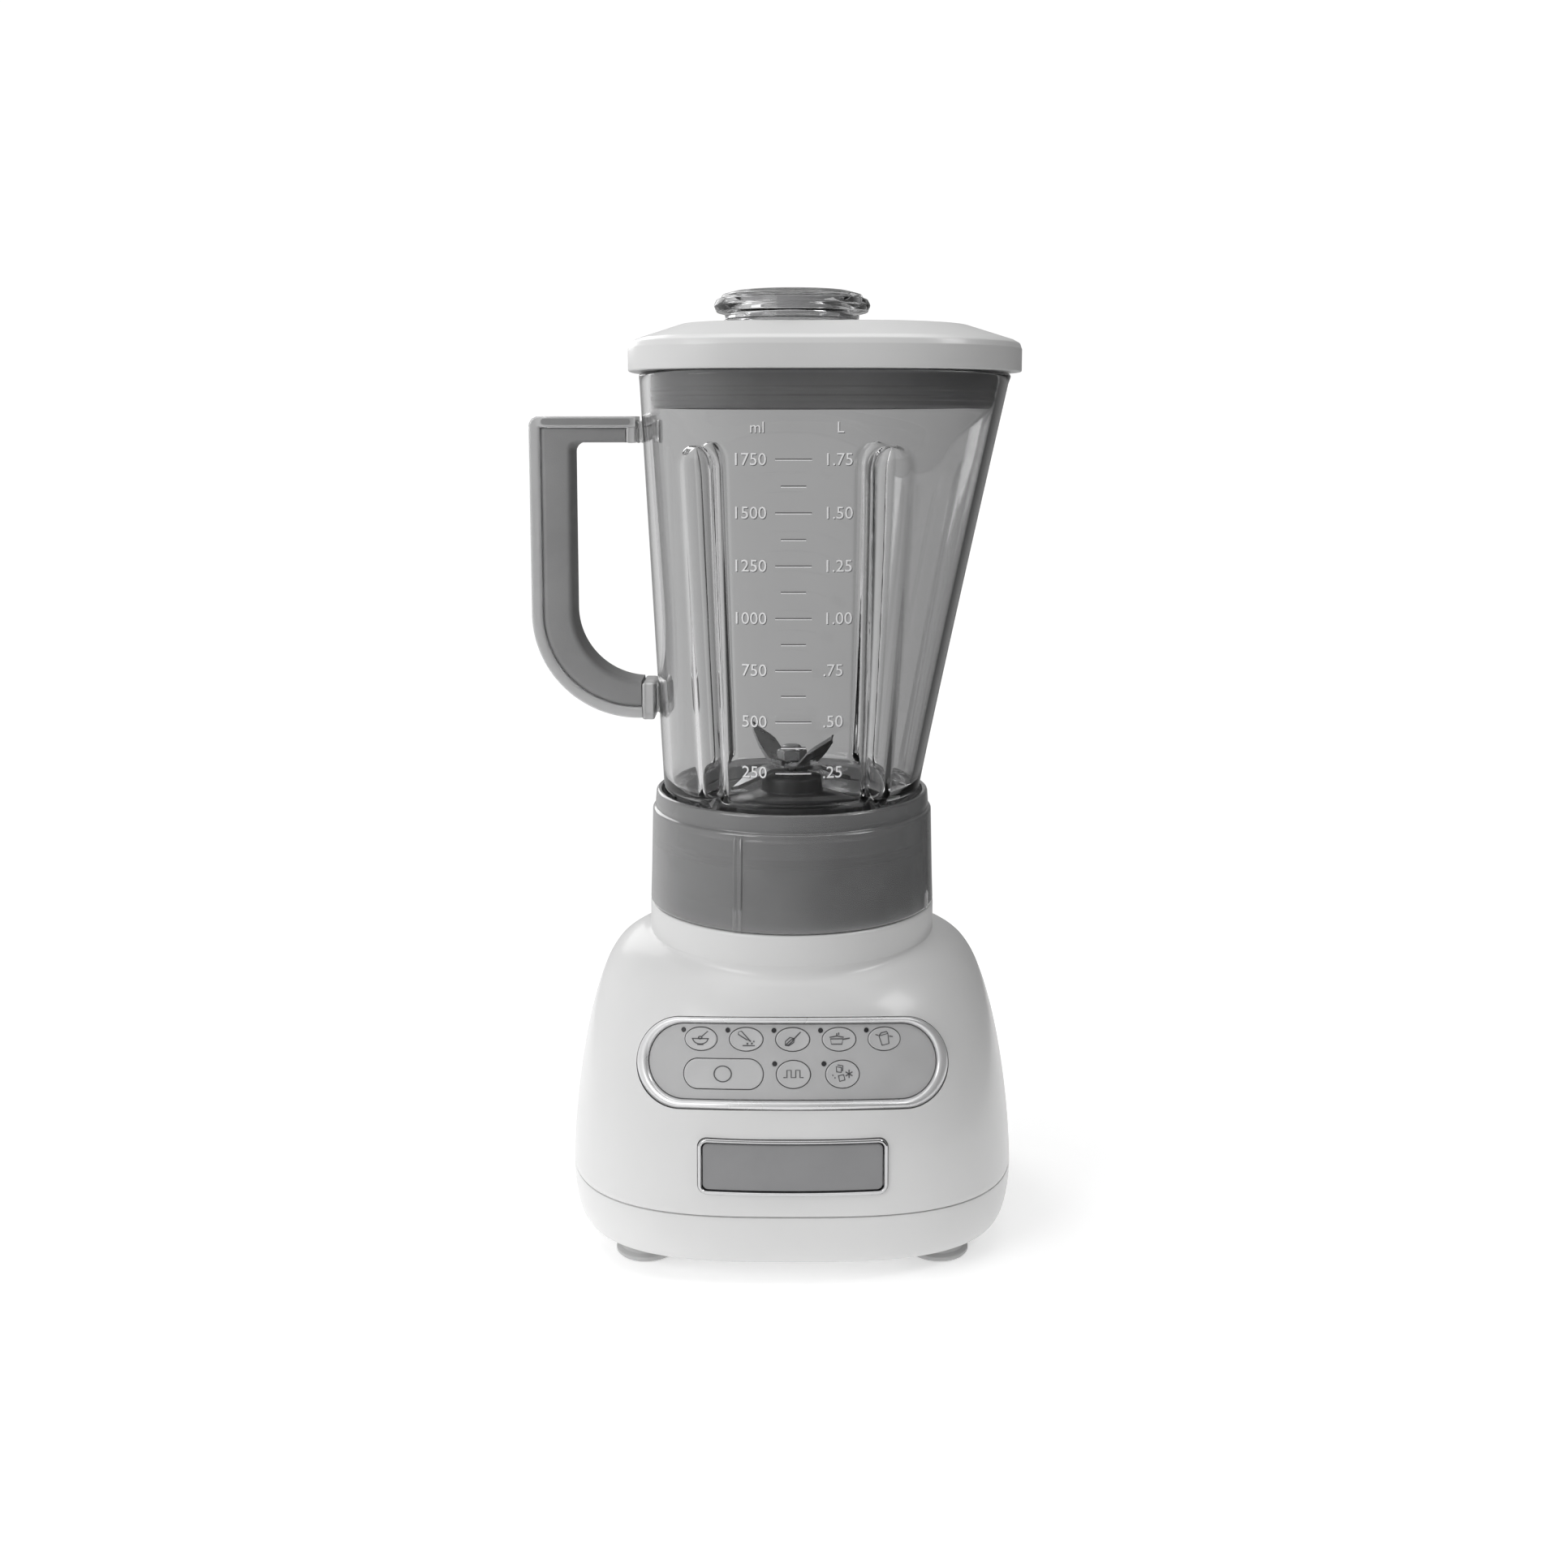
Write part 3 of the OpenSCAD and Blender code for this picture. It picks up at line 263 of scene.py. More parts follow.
FINISHES = {
    "white_shell": dict(colour=(0.70, 0.70, 0.698), rough=0.34, vary=0.006, rough_vary=0.015,
                        bump=0.10, grain=900, depth=0.0001, Coat_Weight=0.25, Coat_Roughness=0.12),
    "satin_silver": dict(colour=(0.74, 0.74, 0.745), rough=0.30, vary=0.015, Metallic=0.5),
    "panel_film": dict(colour=(0.46, 0.46, 0.463), rough=0.5, vary=0.03, bump=0.15, grain=2600,
                       depth=0.00005),
    "key_cap": dict(colour=(0.50, 0.50, 0.503), rough=0.42, vary=0.02, bump=0.12, grain=2600,
                    depth=0.00005),
    "badge_face": dict(colour=(0.25, 0.25, 0.255), rough=0.33, vary=0.04, bump=0.1, grain=3000,
                       depth=0.00004, Metallic=0.3),
    "badge_rim": dict(colour=(0.56, 0.56, 0.565), rough=0.14, vary=0.02, bump=0.03, grain=400,
                      depth=0.00005, Metallic=1.0, rough_vary=0.02),
    "clear_jar": dict(colour=(0.955, 0.955, 0.957), rough=0.012, vary=0.006, bump=0.04, grain=60,
                      depth=0.0002, rough_vary=0.008, Transmission_Weight=1.0, IOR=1.4),
    "clear_rim": dict(colour=(0.88, 0.88, 0.885), rough=0.08, vary=0.006, bump=0.04, grain=60,
                      depth=0.0002, rough_vary=0.02, Transmission_Weight=0.55, IOR=1.45,
                      Coat_Weight=0.3),
    "clear_cap": dict(colour=(0.74, 0.74, 0.745), rough=0.03, vary=0.01, bump=0.03, grain=80,
                      depth=0.0002, rough_vary=0.015, Transmission_Weight=1.0, IOR=1.42),
    "smoky_collar": dict(colour=(0.34, 0.34, 0.343), rough=0.2, vary=0.03, bump=0.02, grain=500,
                         depth=0.00004, Transmission_Weight=0.6, IOR=1.47, Coat_Weight=0.9,
                         Coat_Roughness=0.1, Coat_IOR=1.6),
    "soft_grip": dict(colour=(0.27, 0.27, 0.272), rough=0.62, vary=0.05, bump=0.35, grain=1600,
                      depth=0.00015),
    "seal_rubber": dict(colour=(0.21, 0.21, 0.213), rough=0.38, vary=0.05, bump=0.2, grain=900,
                        depth=0.0001),
    "dark_rubber": dict(colour=(0.035, 0.035, 0.037), rough=0.6, vary=0.15, bump=0.3, grain=1100,
                        depth=0.00015),
    "foot_rubber": dict(colour=(0.50, 0.50, 0.50), rough=0.5, vary=0.05, bump=0.25, grain=900,
                        depth=0.00012),
    "blade_base": dict(colour=(0.018, 0.018, 0.019), rough=0.32, vary=0.15, bump=0.15, grain=900,
                       depth=0.0001),
    "blade_steel": dict(colour=(0.30, 0.302, 0.305), rough=0.30, vary=0.05, bump=0.05, grain=2500,
                        depth=0.00002, stretch=(1, 4, 1), Metallic=1.0),
    "plain_steel": dict(colour=(0.48, 0.48, 0.49), rough=0.35, vary=0.08, bump=0.2, grain=700,
                        depth=0.00006, Metallic=1.0),
    "lamination": dict(colour=(0.22, 0.22, 0.235), rough=0.45, vary=0.15, bump=0.8, grain=300,
                       depth=0.0002, stretch=(0.02, 0.02, 6), Metallic=0.9),
    "copper_wire": dict(colour=(0.62, 0.24, 0.10), rough=0.35, vary=0.15, bump=0.9, grain=420,
                        depth=0.0003, stretch=(1, 1, 4), Metallic=0.9),
    "bronze": dict(colour=(0.55, 0.36, 0.16), rough=0.38, vary=0.1, bump=0.2, grain=900,
                   depth=0.0001, Metallic=0.95),
    "carbon": dict(colour=(0.02, 0.02, 0.021), rough=0.7, vary=0.2, bump=0.3, grain=1500,
                   depth=0.0001),
    "resin": dict(colour=(0.10, 0.065, 0.04), rough=0.45, vary=0.12, bump=0.2, grain=900,
                  depth=0.0001),
    "board": dict(colour=(0.03, 0.14, 0.06), rough=0.35, vary=0.25, patch=300, bump=0.2, grain=1200,
                  depth=0.00005),
    "dark_plastic": dict(colour=(0.03, 0.03, 0.032), rough=0.42, vary=0.15, bump=0.2, grain=1000,
                         depth=0.0001),
    "indicator": dict(colour=(0.03, 0.03, 0.032), rough=0.2, vary=0.2, bump=0.05, grain=1500,
                      depth=0.00005),
    # Dark ink of the button signs and the scale ticks, and also the painted shadows under the scale
    # numbers.
    "ink_and_painted_shadow": dict(colour=(0.085, 0.085, 0.088), rough=0.5, vary=0.1, bump=0.1, grain=3000,
                  depth=0.00003),
    # Light grey painted highlight: the lit faces of the raised scale numbers and the strips under the
    # ticks.
    "scale_painted_highlight": dict(colour=(0.86, 0.86, 0.865), rough=0.35, vary=0.04, bump=0.1, grain=2000,
                        depth=0.00003),
}
MATERIALS = {name: material(name, **finish) for name, finish in FINISHES.items()}
SLOT_OF = {s["node"]: s["material_slot"] for s in frame["record"]["subparts"]}

for node_name, node_object in frame["nodes"].items():
    node_object.data.materials.clear()
    node_object.data.materials.append(MATERIALS[SLOT_OF[node_name]])


def piece(obj, body, slot, *nodes, finish=None):
    """Gives a piece its material and its body, and hides the CAD nodes that it stands for."""
    obj.data.materials.clear()
    obj.data.materials.append(MATERIALS[finish or slot])
    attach(obj, body)
    if nodes:
        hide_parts(*nodes)
    return obj


# ---- curved plates on the base's front ----

# Each face: the matrix of its middle, and the radius that it bends round.
PANEL = (Matrix.Translation((0, -80.1, 91.2)) @ Matrix.Rotation(math.radians(-17.2), 4, "X"), 135.0)
PANEL_RISE = 0.6        # how far the panel's plate sits above the middle of its slot
BADGE = (Matrix.Translation((0, -87.9, 51.0)) @ Matrix.Rotation(math.radians(-2.8), 4, "X"), 280.0)


def bent(plane, x, v, w):
    """Point x across, v up and w in front of a face that bends round."""
    matrix, radius = plane
    return tuple(matrix @ Vector((x, radius - math.sqrt((radius + w) ** 2 - x * x), v)))


def bent_solid(section, shape, plane, wrap=False):
    """Solid whose section is a list of (inset from the outline, height above the face)."""
    rings = [[bent(plane, x, v, w) for x, v in shape(inset)] for inset, w in section]
    return loft(rings, wrap=wrap)


def bent_slab(w, h, r, low, high, plane):
    """Plain block with the outline w by h, used as a cutter."""
    def shape(inset):
        return outline(w, h, r, inset, corner=24, side=48, end=6)
    steps = [0, h / 8, h / 4, h / 2.7, h / 2]
    section = [(i, low) for i in reversed(steps)] + [(i, high) for i in steps]
    return bent_solid(section, shape, plane)


def on_panel(u, v):
    """Matrix from a button's own axes to the part: X along the panel, Y up it, Z outward."""
    matrix, radius = PANEL
    return (matrix @ Matrix.Translation((0, radius, v)) @ Matrix.Rotation(u / radius, 4, "Z")
            @ Matrix.Translation((0, -radius, 0)) @ Matrix.Rotation(math.radians(90), 4, "X"))


def rounding(r, height):
    """Quarter-round edge as (inset, height) pairs, from the side up to the top face."""
    return [(r * (1 - math.cos(math.radians(a))), height - r * (1 - math.sin(math.radians(a))))
            for a in range(0, 91, 18)]


# ---- base housings ----

FLOOR_Z, NECK_Z = box_mm("lower_housing")[0].z, box_mm("upper_housing")[1].z
SEAM_Z, NECK_R = 30.0, 62.0
BASE_W, BASE_D = 190.4, 176.0
SHOULDER_H, SHOULDER_W, SHOULDER_D = 96.1, 50, 40       # height above the seam, half sizes at its top
SHOULDER_Z = SEAM_Z + SHOULDER_H
BLEND_Z, BLEND = 95, 5              # where the neck's hollow corner starts, and how soft it is
UPPER_WALL, LOWER_WALL = 3.2, 3
MOTOR_HOLE_R = 21
FOOT_X, FOOT_Y = 61, 53
ROUND = 480
ANGLES = [2 * math.pi * i / ROUND for i in range(ROUND)]


def base_radius(t, z):
    """Radius of the base's own outline in direction t at height z."""
    up = clamp((z - SEAM_Z) / SHOULDER_H)
    tuck = 0 if z >= SEAM_Z else 1 - math.sqrt(1 - ((SEAM_Z - z) / 23.5) ** 2)
    half_w = SHOULDER_W + (BASE_W / 2 - SHOULDER_W) * (1 - up ** 1.6) ** 0.28 - 6 * tuck
    half_d = SHOULDER_D + (BASE_D / 2 - SHOULDER_D) * math.sqrt(1 - up ** 3.2) - 10 * tuck
    n = 3 - up
    c, s = abs(math.cos(t)) / half_w, abs(math.sin(t)) / half_d
    return (c ** n + s ** n) ** (-1 / n)


def shoulder_radius(t, z):
    """The same, with the round neck blended in through a soft hollow corner."""
    if z < BLEND_Z:
        return base_radius(t, z)
    softness = BLEND * max(min(1, (z - BLEND_Z) / 15, (SHOULDER_Z - z) / 8), 0)
    r, neck = base_radius(t, z), NECK_R if z > SHOULDER_Z - 1 else NECK_R - 0.1
    return (r + neck + math.sqrt((r - neck) ** 2 + softness ** 2)) / 2


def polar_ring(radius, z, angles=ANGLES):
    """Level ring at z whose distance from the axis in direction t is radius(t)."""
    ring = []
    for t in angles:
        r = radius(t)
        ring.append((r * math.cos(t), r * math.sin(t), z))
    return ring


def upper_housing():
    heights = [31.0 + 2.0 * i for i in range(40)] + [110.5 + 0.5 * i for i in range(30)]
    heights += [SHOULDER_Z - 1.2, SHOULDER_Z - 0.8, SHOULDER_Z - 0.5, SHOULDER_Z - 0.2,
                SHOULDER_Z + 0.3, 129, 132, 136]
    rings = [polar_ring(lambda t: base_radius(t, 30.4) - 3, 30.4),
             polar_ring(lambda t: base_radius(t, 30.4) - 0.5, 30.4),
             polar_ring(lambda t: base_radius(t, 30.55) - 0.15, 30.55)]
    rings += [polar_ring(lambda t, z=z: shoulder_radius(t, z), z) for z in heights]
    edge = 1.2
    for a in (15, 40, 65, 90):
        rise, out = math.sin(math.radians(a)), math.cos(math.radians(a))
        rings.append(polar_ring(lambda t, out=out: NECK_R - edge + edge * out,
                                NECK_Z - edge + edge * rise))
    rings += [polar_ring(lambda t, r=r: r, z)
              for r, z in ((40, NECK_Z), (MOTOR_HOLE_R, NECK_Z), (MOTOR_HOLE_R, NECK_Z - 4),
                           (NECK_R - UPPER_WALL, NECK_Z - 4))]
    for z in (126.2, 125, 123, 120, 116, 110, 102, 92, 80, 66, 50):
        flat = ((z - SEAM_Z) / SHOULDER_H) ** 4
        rings.append(polar_ring(lambda t, z=z, f=flat: shoulder_radius(t, z) - UPPER_WALL - f,
                                z - 3 * flat))
    obj = mesh_object("base_shell", *loft(rings, wrap=True))
    cut(obj, bent_slab(127.3, 36.3, 18.15, -7, 9, PANEL))
    cut(obj, bent_slab(76.3, 23.2, 4, -4, 9, BADGE))
    return piece(obj, "base", "white_shell", "upper_housing")


upper_housing()


def lower_housing():
    heights = [FLOOR_Z + 0.5 * i for i in range(1, 9)] + [13, 15, 17.5, 20, 22.5, 25, 27.5, 29.2]
    rings = [polar_ring(lambda t, f=f: f * (base_radius(t, FLOOR_Z) - 1), FLOOR_Z)
             for f in (0.0, 0.3, 0.6, 0.8, 0.9, 1.0)]
    rings += [polar_ring(lambda t, z=z: base_radius(t, z), z) for z in heights]
    rings += [polar_ring(lambda t: base_radius(t, 29.9) - 0.15, 29.85),
              polar_ring(lambda t: base_radius(t, SEAM_Z) - 0.5, SEAM_Z),
              polar_ring(lambda t: base_radius(t, SEAM_Z) - LOWER_WALL, SEAM_Z)]
    rings += [polar_ring(lambda t, z=z: base_radius(t, z) - LOWER_WALL, z) for z in (25, 20, 16, 13)]
    rings += [polar_ring(lambda t, f=f: f * (base_radius(t, 11) - LOWER_WALL), 11.0)
              for f in (1.0, 0.8, 0.5, 0.2, 0.0)]
    obj = mesh_object("base_bottom", *loft(rings, caps=False))
    vent, foot_hole = prism(outline(4, 40, 1.9), 0, 20), prism(ellipse(4.1, 4.1), 0, 20)
    screw_hole, cord_hole = prism(ellipse(4.2, 4.2), 0, 20), prism(ellipse(7.2, 7.2), 0, 60)
    tools = [moved(vent, Matrix.Translation((-27.5 + 11 * i, 0, 0))) for i in range(6)]
    for sx in (-1, 1):
        for sy in (-1, 1):
            tools.append(moved(foot_hole, Matrix.Translation((sx * FOOT_X, sy * FOOT_Y, 0))))
            tools.append(moved(screw_hole, Matrix.Translation((sx * 66, sy * 30, 0))))
    tools.append(moved(cord_hole,
                       Matrix.Translation((0, 60, 21)) @ Matrix.Rotation(math.radians(-90), 4, "X")))
    cut(obj, join(*tools))
    return piece(obj, "base", "white_shell", "lower_housing")


lower_housing()


def feet():
    profile = [(0, 0, 0), (12.0, 0, 0.8), (12.8, 0.9, 0.5), (12.8, 2.1, 0.5), (11.0, 3.0, 0.4),
               (10.5, 7.9, 0.3), (4.0, 7.9, 0), (4.0, 11.2, 0), (4.8, 11.2, 0), (3.0, 14.5, 0.3),
               (0, 14.5, 0)]
    part = lathe(profile, 96)
    parts = [moved(part, Matrix.Translation((sx * FOOT_X, sy * FOOT_Y, 0)))
             for sx in (-1, 1) for sy in (-1, 1)]
    return piece(mesh_object("feet_moulded", *join(*parts)), "base", "foot_rubber", "feet")


feet()


def bezel():
    outer = outline(126.8, 35.8, 17.9, 0, corner=28, side=60, end=4)
    inner = [(x, v + PANEL_RISE)
             for x, v in outline(117.0, 29.9, 14.95, 0, corner=28, side=60, end=4)]
    crown = [(0.0, -2.6), (0.0, 0.2), (0.03, 0.8), (0.1, 1.3), (0.22, 1.65), (0.38, 1.8), (0.54, 1.76),
             (0.7, 1.5), (0.83, 1.05), (0.93, 0.45), (0.98, -0.1), (1.0, -0.8), (1.0, -2.6)]
    rings = []
    for share, w in crown:
        rings.append([bent(PANEL, a[0] + (b[0] - a[0]) * share, a[1] + (b[1] - a[1]) * share, w)
                      for a, b in zip(outer, inner)])
    obj = mesh_object("panel_bezel", *loft(rings, wrap=True))
    return piece(obj, "base", "satin_silver", "control_bezel")


bezel()

# Buttons: name, place across and up the panel, and height over width.
PITCH, TOP_V, LOW_V = 18.7, 9.4, -4.2
TOP_ROW = ("stir", "chop", "mix", "puree", "liquefy")
ROUND_KEYS = [(name, (i - 2) * PITCH, TOP_V, 0.67) for i, name in enumerate(TOP_ROW)]
ROUND_KEYS += [("pulse", 0.3, LOW_V, 0.79), ("ice", 20, LOW_V, 0.79)]
OFF_U, OFF_V, OFF_W, OFF_H = -28.2, LOW_V, 32.6, 11.6
KEY_R, KEY_GAP = 6.7, 0.35


def off_plane():
    """The panel's bend, turned so that the off button's middle is at x = 0."""
    matrix, radius = PANEL
    turn = (Matrix.Translation((0, radius, OFF_V)) @ Matrix.Rotation(OFF_U / radius, 4, "Z")
            @ Matrix.Translation((0, -radius, 0)))
    return (matrix @ turn, radius)


def control_panel():
    def shape(inset):
        return [(x, v + PANEL_RISE)
                for x, v in outline(116.5, 29.4, 14.7, inset, corner=28, side=80, end=4)]
    insets = [0.4, 2, 4, 6, 8, 10, 12, 14.7]
    section = [(i, -2.2) for i in reversed(insets)] + [(0.0, -2.2), (0.0, -0.3), (0.12, -0.1)]
    section += [(i, 0.0) for i in insets]
    obj = mesh_object("panel_plate", *bent_solid(section, shape, PANEL))
    tools = []
    for _, u, v, flat in ROUND_KEYS:
        hole = ellipse(KEY_R + KEY_GAP, KEY_R * flat + KEY_GAP)
        tools.append(moved(prism(hole, -6, 4), on_panel(u, v)))
        dot_v = v + (3.5 if v > 0 else 4.1)
        tools.append(moved(prism(ellipse(1, 1), -6, 4), on_panel(u - 7.5, dot_v)))
    tools.append(bent_slab(OFF_W + 2 * KEY_GAP, OFF_H + 2 * KEY_GAP, OFF_H / 2 + KEY_GAP, -6, 4,
                           off_plane()))
    cut(obj, join(*tools))
    return piece(obj, "base", "panel_film", "control_panel")


control_panel()


KEY_STEM = prism(ellipse(1.6, 1.6, count=24), -3.4, -2.6)


def round_key(name, u, v, flat):
    a, b = KEY_R, KEY_R * flat
    section = [(0.0, -2.7), (0.0, -0.1)] + rounding(0.4, 0.3)
    section += [(a * f, 0.3 - 0.22 * math.sin(math.pi / 2 * min(f * 1.25, 1)))
                for f in (0.12, 0.2, 0.32, 0.46, 0.6, 0.75, 0.9, 0.97)]
    rings = []
    for inset, w in section:
        k = 1 - inset / a
        rings.append([(x * k, y * k, w) for x, y in ellipse(a, b)])
    part = join(loft(rings), prism(ellipse(a + 0.8, b + 0.8), -3.3, -2.75), KEY_STEM)
    obj = mesh_object("key_" + name, *moved(part, on_panel(u, v)))
    return piece(obj, "button_" + name, "key_cap", "button_" + name)


for key in ROUND_KEYS:
    round_key(*key)


def off_key():
    def shape(inset):
        return outline(OFF_W, OFF_H, OFF_H / 2, inset, corner=20, side=30, end=4)
    section = [(5.8, -2.7), (0.0, -2.7), (0.0, -0.1)] + rounding(0.4, 0.3)
    section += [(1.2, 0.24), (2.2, 0.16), (3.4, 0.1), (4.6, 0.07), (5.8, 0.06)]
    cap = bent_solid(section, shape, off_plane())
    lip = bent_solid([(5.8, -3.3), (-0.8, -3.3), (-0.8, -2.75), (5.8, -2.75)], shape, off_plane())
    obj = mesh_object("key_off", *join(cap, lip, moved(KEY_STEM, on_panel(OFF_U, OFF_V))))
    return piece(obj, "button_off", "key_cap", "button_off")


off_key()


# ---- signs on the buttons ----

INK_LOW, INK_HIGH = -0.05, 0.1


def stroke(points, width, closed):
    """Flat ribbon along a path, as a thin solid in a button's own axes."""
    count = len(points)
    left, right = [], []
    for i, (x, y) in enumerate(points):
        a = points[i - 1] if closed or i else points[0]
        b = points[(i + 1) % count] if closed or i < count - 1 else points[-1]
        d = Vector((b[0] - a[0], b[1] - a[1])).normalized() * (width / 2)
        left.append((x - d.y, y + d.x))
        right.append((x + d.y, y - d.x))
    rings = [[(*a, INK_LOW), (*a, INK_HIGH), (*b, INK_HIGH), (*b, INK_LOW)]
             for a, b in zip(left, right)]
    return loft(rings, wrap=closed)


def arc(cx, cy, r, start, end, squash, steps=14):
    return [(cx + r * math.cos(math.radians(start + (end - start) * i / steps)),
             cy + squash * r * math.sin(math.radians(start + (end - start) * i / steps)))
            for i in range(steps + 1)]


# Each sign is a list of strokes: (points, line width, whether it closes).
THIN = 0.42
SIGNS = {
    # bowl with a spoon
    "stir": [(arc(-0.2, 0.1, 3.2, 180, 360, squash=0.78), THIN, False),
             ([(-3.8, 0.1), (3.4, 0.1)], THIN, False),
             ([(-1.5, -2.6), (1.1, -2.6)], 0.5, False),
             (arc(-0.3, 0.5, 0.75, 0, 337, steps=15, squash=0.8), THIN, True),
             ([(0.3, 1.0), (3.1, 3.6)], THIN, False)],
    # knife over chopped pieces
    "chop": [([(-3.0, 3.6), (-1.9, 3.7), (0.9, 0.2), (0.4, -0.3), (-3.2, 2.2)], THIN, True),
             ([(0.8, 0.0), (1.9, -1.0)], 0.6, False),
             ([(-1.4, -2.9), (3.6, -2.9)], 0.45, False),
             ([(0.2, -2.0), (0.9, -2.0)], 0.7, False),
             ([(2.0, -1.9), (2.7, -1.9)], 0.7, False),
             ([(2.9, -1.0), (3.4, -1.0)], 0.6, False)],
    # whisk
    "mix": [([(3.3, 3.5), (0.6, 0.4)], 0.5, False),
            ([(0.6, 0.4), (-1.1, 0.9), (-2.9, -0.9), (-3.0, -2.7), (-1.6, -2.9), (0.4, -1.4),
              (0.6, 0.4)], THIN, False),
            ([(0.6, 0.4), (-0.6, -0.2), (-2.3, -1.9), (-2.9, -2.7)], THIN, False),
            ([(0.6, 0.4), (-0.2, -1.0), (-1.6, -2.3), (-2.7, -2.8)], THIN, False)],
    # pan with a lid
    "puree": [([(-3.6, 0.2), (1.5, 0.2), (1.1, -2.2), (-3.2, -2.2)], THIN, True),
              ([(1.5, 0.0), (4.3, 0.5)], 0.5, False),
              ([(-3.9, 0.9), (-0.9, 1.5), (1.8, 0.9)], THIN, False),
              ([(-1.0, 1.5), (-1.0, 2.8)], THIN, False),
              ([(-0.2, 2.0), (-0.2, 3.1)], THIN, False)],
    # shaker
    "liquefy": [([(-2.3, 1.3), (-1.0, -3.0), (1.9, -2.2), (1.5, 2.4)], THIN, True),
                ([(-2.3, 1.3), (-1.4, 2.7), (0.9, 3.3), (1.5, 2.4)], THIN, False),
                ([(-3.8, 2.0), (-2.6, 1.6)], THIN, False),
                ([(2.1, 1.2), (3.6, 0.9)], THIN, False)],
    # square wave
    "pulse": [([(-4.0, -1.2), (-2.6, -1.2), (-2.6, 1.6), (-0.9, 1.6), (-0.9, -1.2), (0.9, -1.2),
                (0.9, 1.6), (2.6, 1.6), (2.6, -1.2), (4.0, -1.2)], THIN, False)],
    # two ice cubes and a snow crystal
    "ice": [([(-2.6, 2.9), (-0.5, 2.6), (-0.6, 0.7), (-2.4, 0.9)], THIN, True),
            ([(-2.1, 3.6), (0.1, 3.3), (-0.1, 1.2)], THIN, False),
            ([(-1.7, -0.6), (0.4, -0.2), (0.9, -2.2), (-1.2, -2.8)], THIN, True),
            ([(2.6, -1.5), (2.6, 1.7)], THIN, False),
            ([(1.2, -0.7), (4.0, 0.9)], THIN, False),
            ([(1.2, 0.9), (4.0, -0.7)], THIN, False),
            ([(-4.2, -0.4), (-3.8, -0.4)], 0.5, False),
            ([(-3.3, -1.4), (-2.9, -1.4)], 0.5, False)],
}


def signs():
    for name, u, v, _ in ROUND_KEYS:
        squash = 1.0 if v < 0 else 0.86
        strokes = [stroke([(x, y * squash) for x, y in path], width, closed)
                   for path, width, closed in SIGNS[name]]
        obj = mesh_object("sign_" + name, *moved(join(*strokes), on_panel(u, v)
                          @ Matrix.Translation((0, 0, 0.12))), merge=False)
        piece(obj, "button_" + name, "key_cap", finish="ink_and_painted_shadow")
    ring = stroke(arc(0, 0, 3.55, 0, 352.5, steps=47, squash=0.86), 0.45, closed=True)
    obj = mesh_object("sign_off", *moved(ring, on_panel(OFF_U, OFF_V)
                      @ Matrix.Translation((0, 0, 0.1))), merge=False)
    piece(obj, "button_off", "key_cap", finish="ink_and_painted_shadow")


signs()


# ---- badge ----

def badge():
    def rim_shape(inset):
        return outline(75.8, 22.7, 3.9, inset, corner=16, side=40, end=10)
    rim = [(0.0, -1.8), (0.0, 0.5)] + rounding(0.7, 1.2) + [(1.1, 1.18), (1.35, 0.95), (1.5, 0.5),
                                                          (1.55, 0.0), (1.55, -1.8)]
    obj = mesh_object("badge_rim", *bent_solid(rim, rim_shape, BADGE, wrap=True))
    piece(obj, "base", "badge_rim", "badge_frame")
    plate_w, plate_h = 72.0, 18.9

    def plate_shape(inset):
        return outline(plate_w, plate_h, 2.3, inset, corner=16, side=40, end=10)
    insets = [0.5, 0.9, 2, 4, 6, 8, plate_h / 2]
    section = [(i, -1.8) for i in reversed(insets)] + [(0, -1.8), (0, 0.0), (0.15, 0.22)]
    section += [(i, 0.3) for i in insets]
    obj = mesh_object("badge_face", *bent_solid(section, plate_shape, BADGE))
    piece(obj, "base", "badge_face", "badge_plate")


badge()


# ---- collar ----

def collar():
    low, top = box_mm("locking_collar")[0].z, box_mm("locking_collar")[1].z
    profile = [(58.6, low, 0.5), (61.9, low, 0.9), (61.5, 150, 0), (60.75, 178.9, 1.1),
               (59.3, 179.6, 0.5), (59.5, 182.0, 1.6), (59.1, 186.6, 1.2), (58.0, 187.2, 0.4),
               (57.8, top, 0.8), (56.9, top, 0.4), (56.9, 168, 0.3), (46, 168, 0.5), (46, 164, 0.5),
               (57.3, 164, 0.8)]
    obj = mesh_object("collar_wall", *lathe(profile, 256, 6), sharp=50)
    first_rib, taper, foot_r = -111.5, 0.0235, 61.95
    ribs = []
    for i in range(4):
        turn = Matrix.Rotation(math.radians(first_rib + 90 * i), 4, "Z")
        rings = []
        for z, grow in ((low + 0.1, 0.0), (low + 0.6, 0.3), (150, 0.35), (176.6, 0.2), (178.4, -0.9)):
            r = foot_r - (z - low) * taper + grow
            rings.append([(r - 2.4, -2.2, z), (r - 0.6, -2.2, z), (r - 0.1, -1.8, z), (r, -1.4, z),
                          (r - 0.5, -0.4, z), (r - 0.5, 0.4, z), (r, 1.4, z), (r - 0.1, 1.8, z),
                          (r - 0.6, 2.2, z), (r - 2.4, 2.2, z)])
        ribs.append(moved(loft(rings), turn))
    parts = mesh_object("collar_ribs", *join(*ribs), sharp=60)
    piece(obj, "collar", "smoky_collar", "locking_collar")
    piece(parts, "collar", "smoky_collar", "locking_collar")


collar()


# ---- jar ----

JAR_RIM = box_mm("jar_body")[1].z
JAR_FOOT = box_mm("jar_body")[0].z
JAR_WALL = 3.5
JAR_COUNT = 576
JAR_ANGLES = [2 * math.pi * (i + 0.5) / JAR_COUNT for i in range(JAR_COUNT)]


JAR_LOW = 190           # where the round foot ends and the jar starts to widen
FLUTE_FOOT, FLUTE_CURVE, FLUTE_TOP = 186, 322, 336
FLUTE_DEEP, FLUTE_ROUND = 6.5, 9    # depth, and height of a flute's round top


def jar_up(z):
    return clamp((z - JAR_LOW) / (JAR_RIM - JAR_LOW))


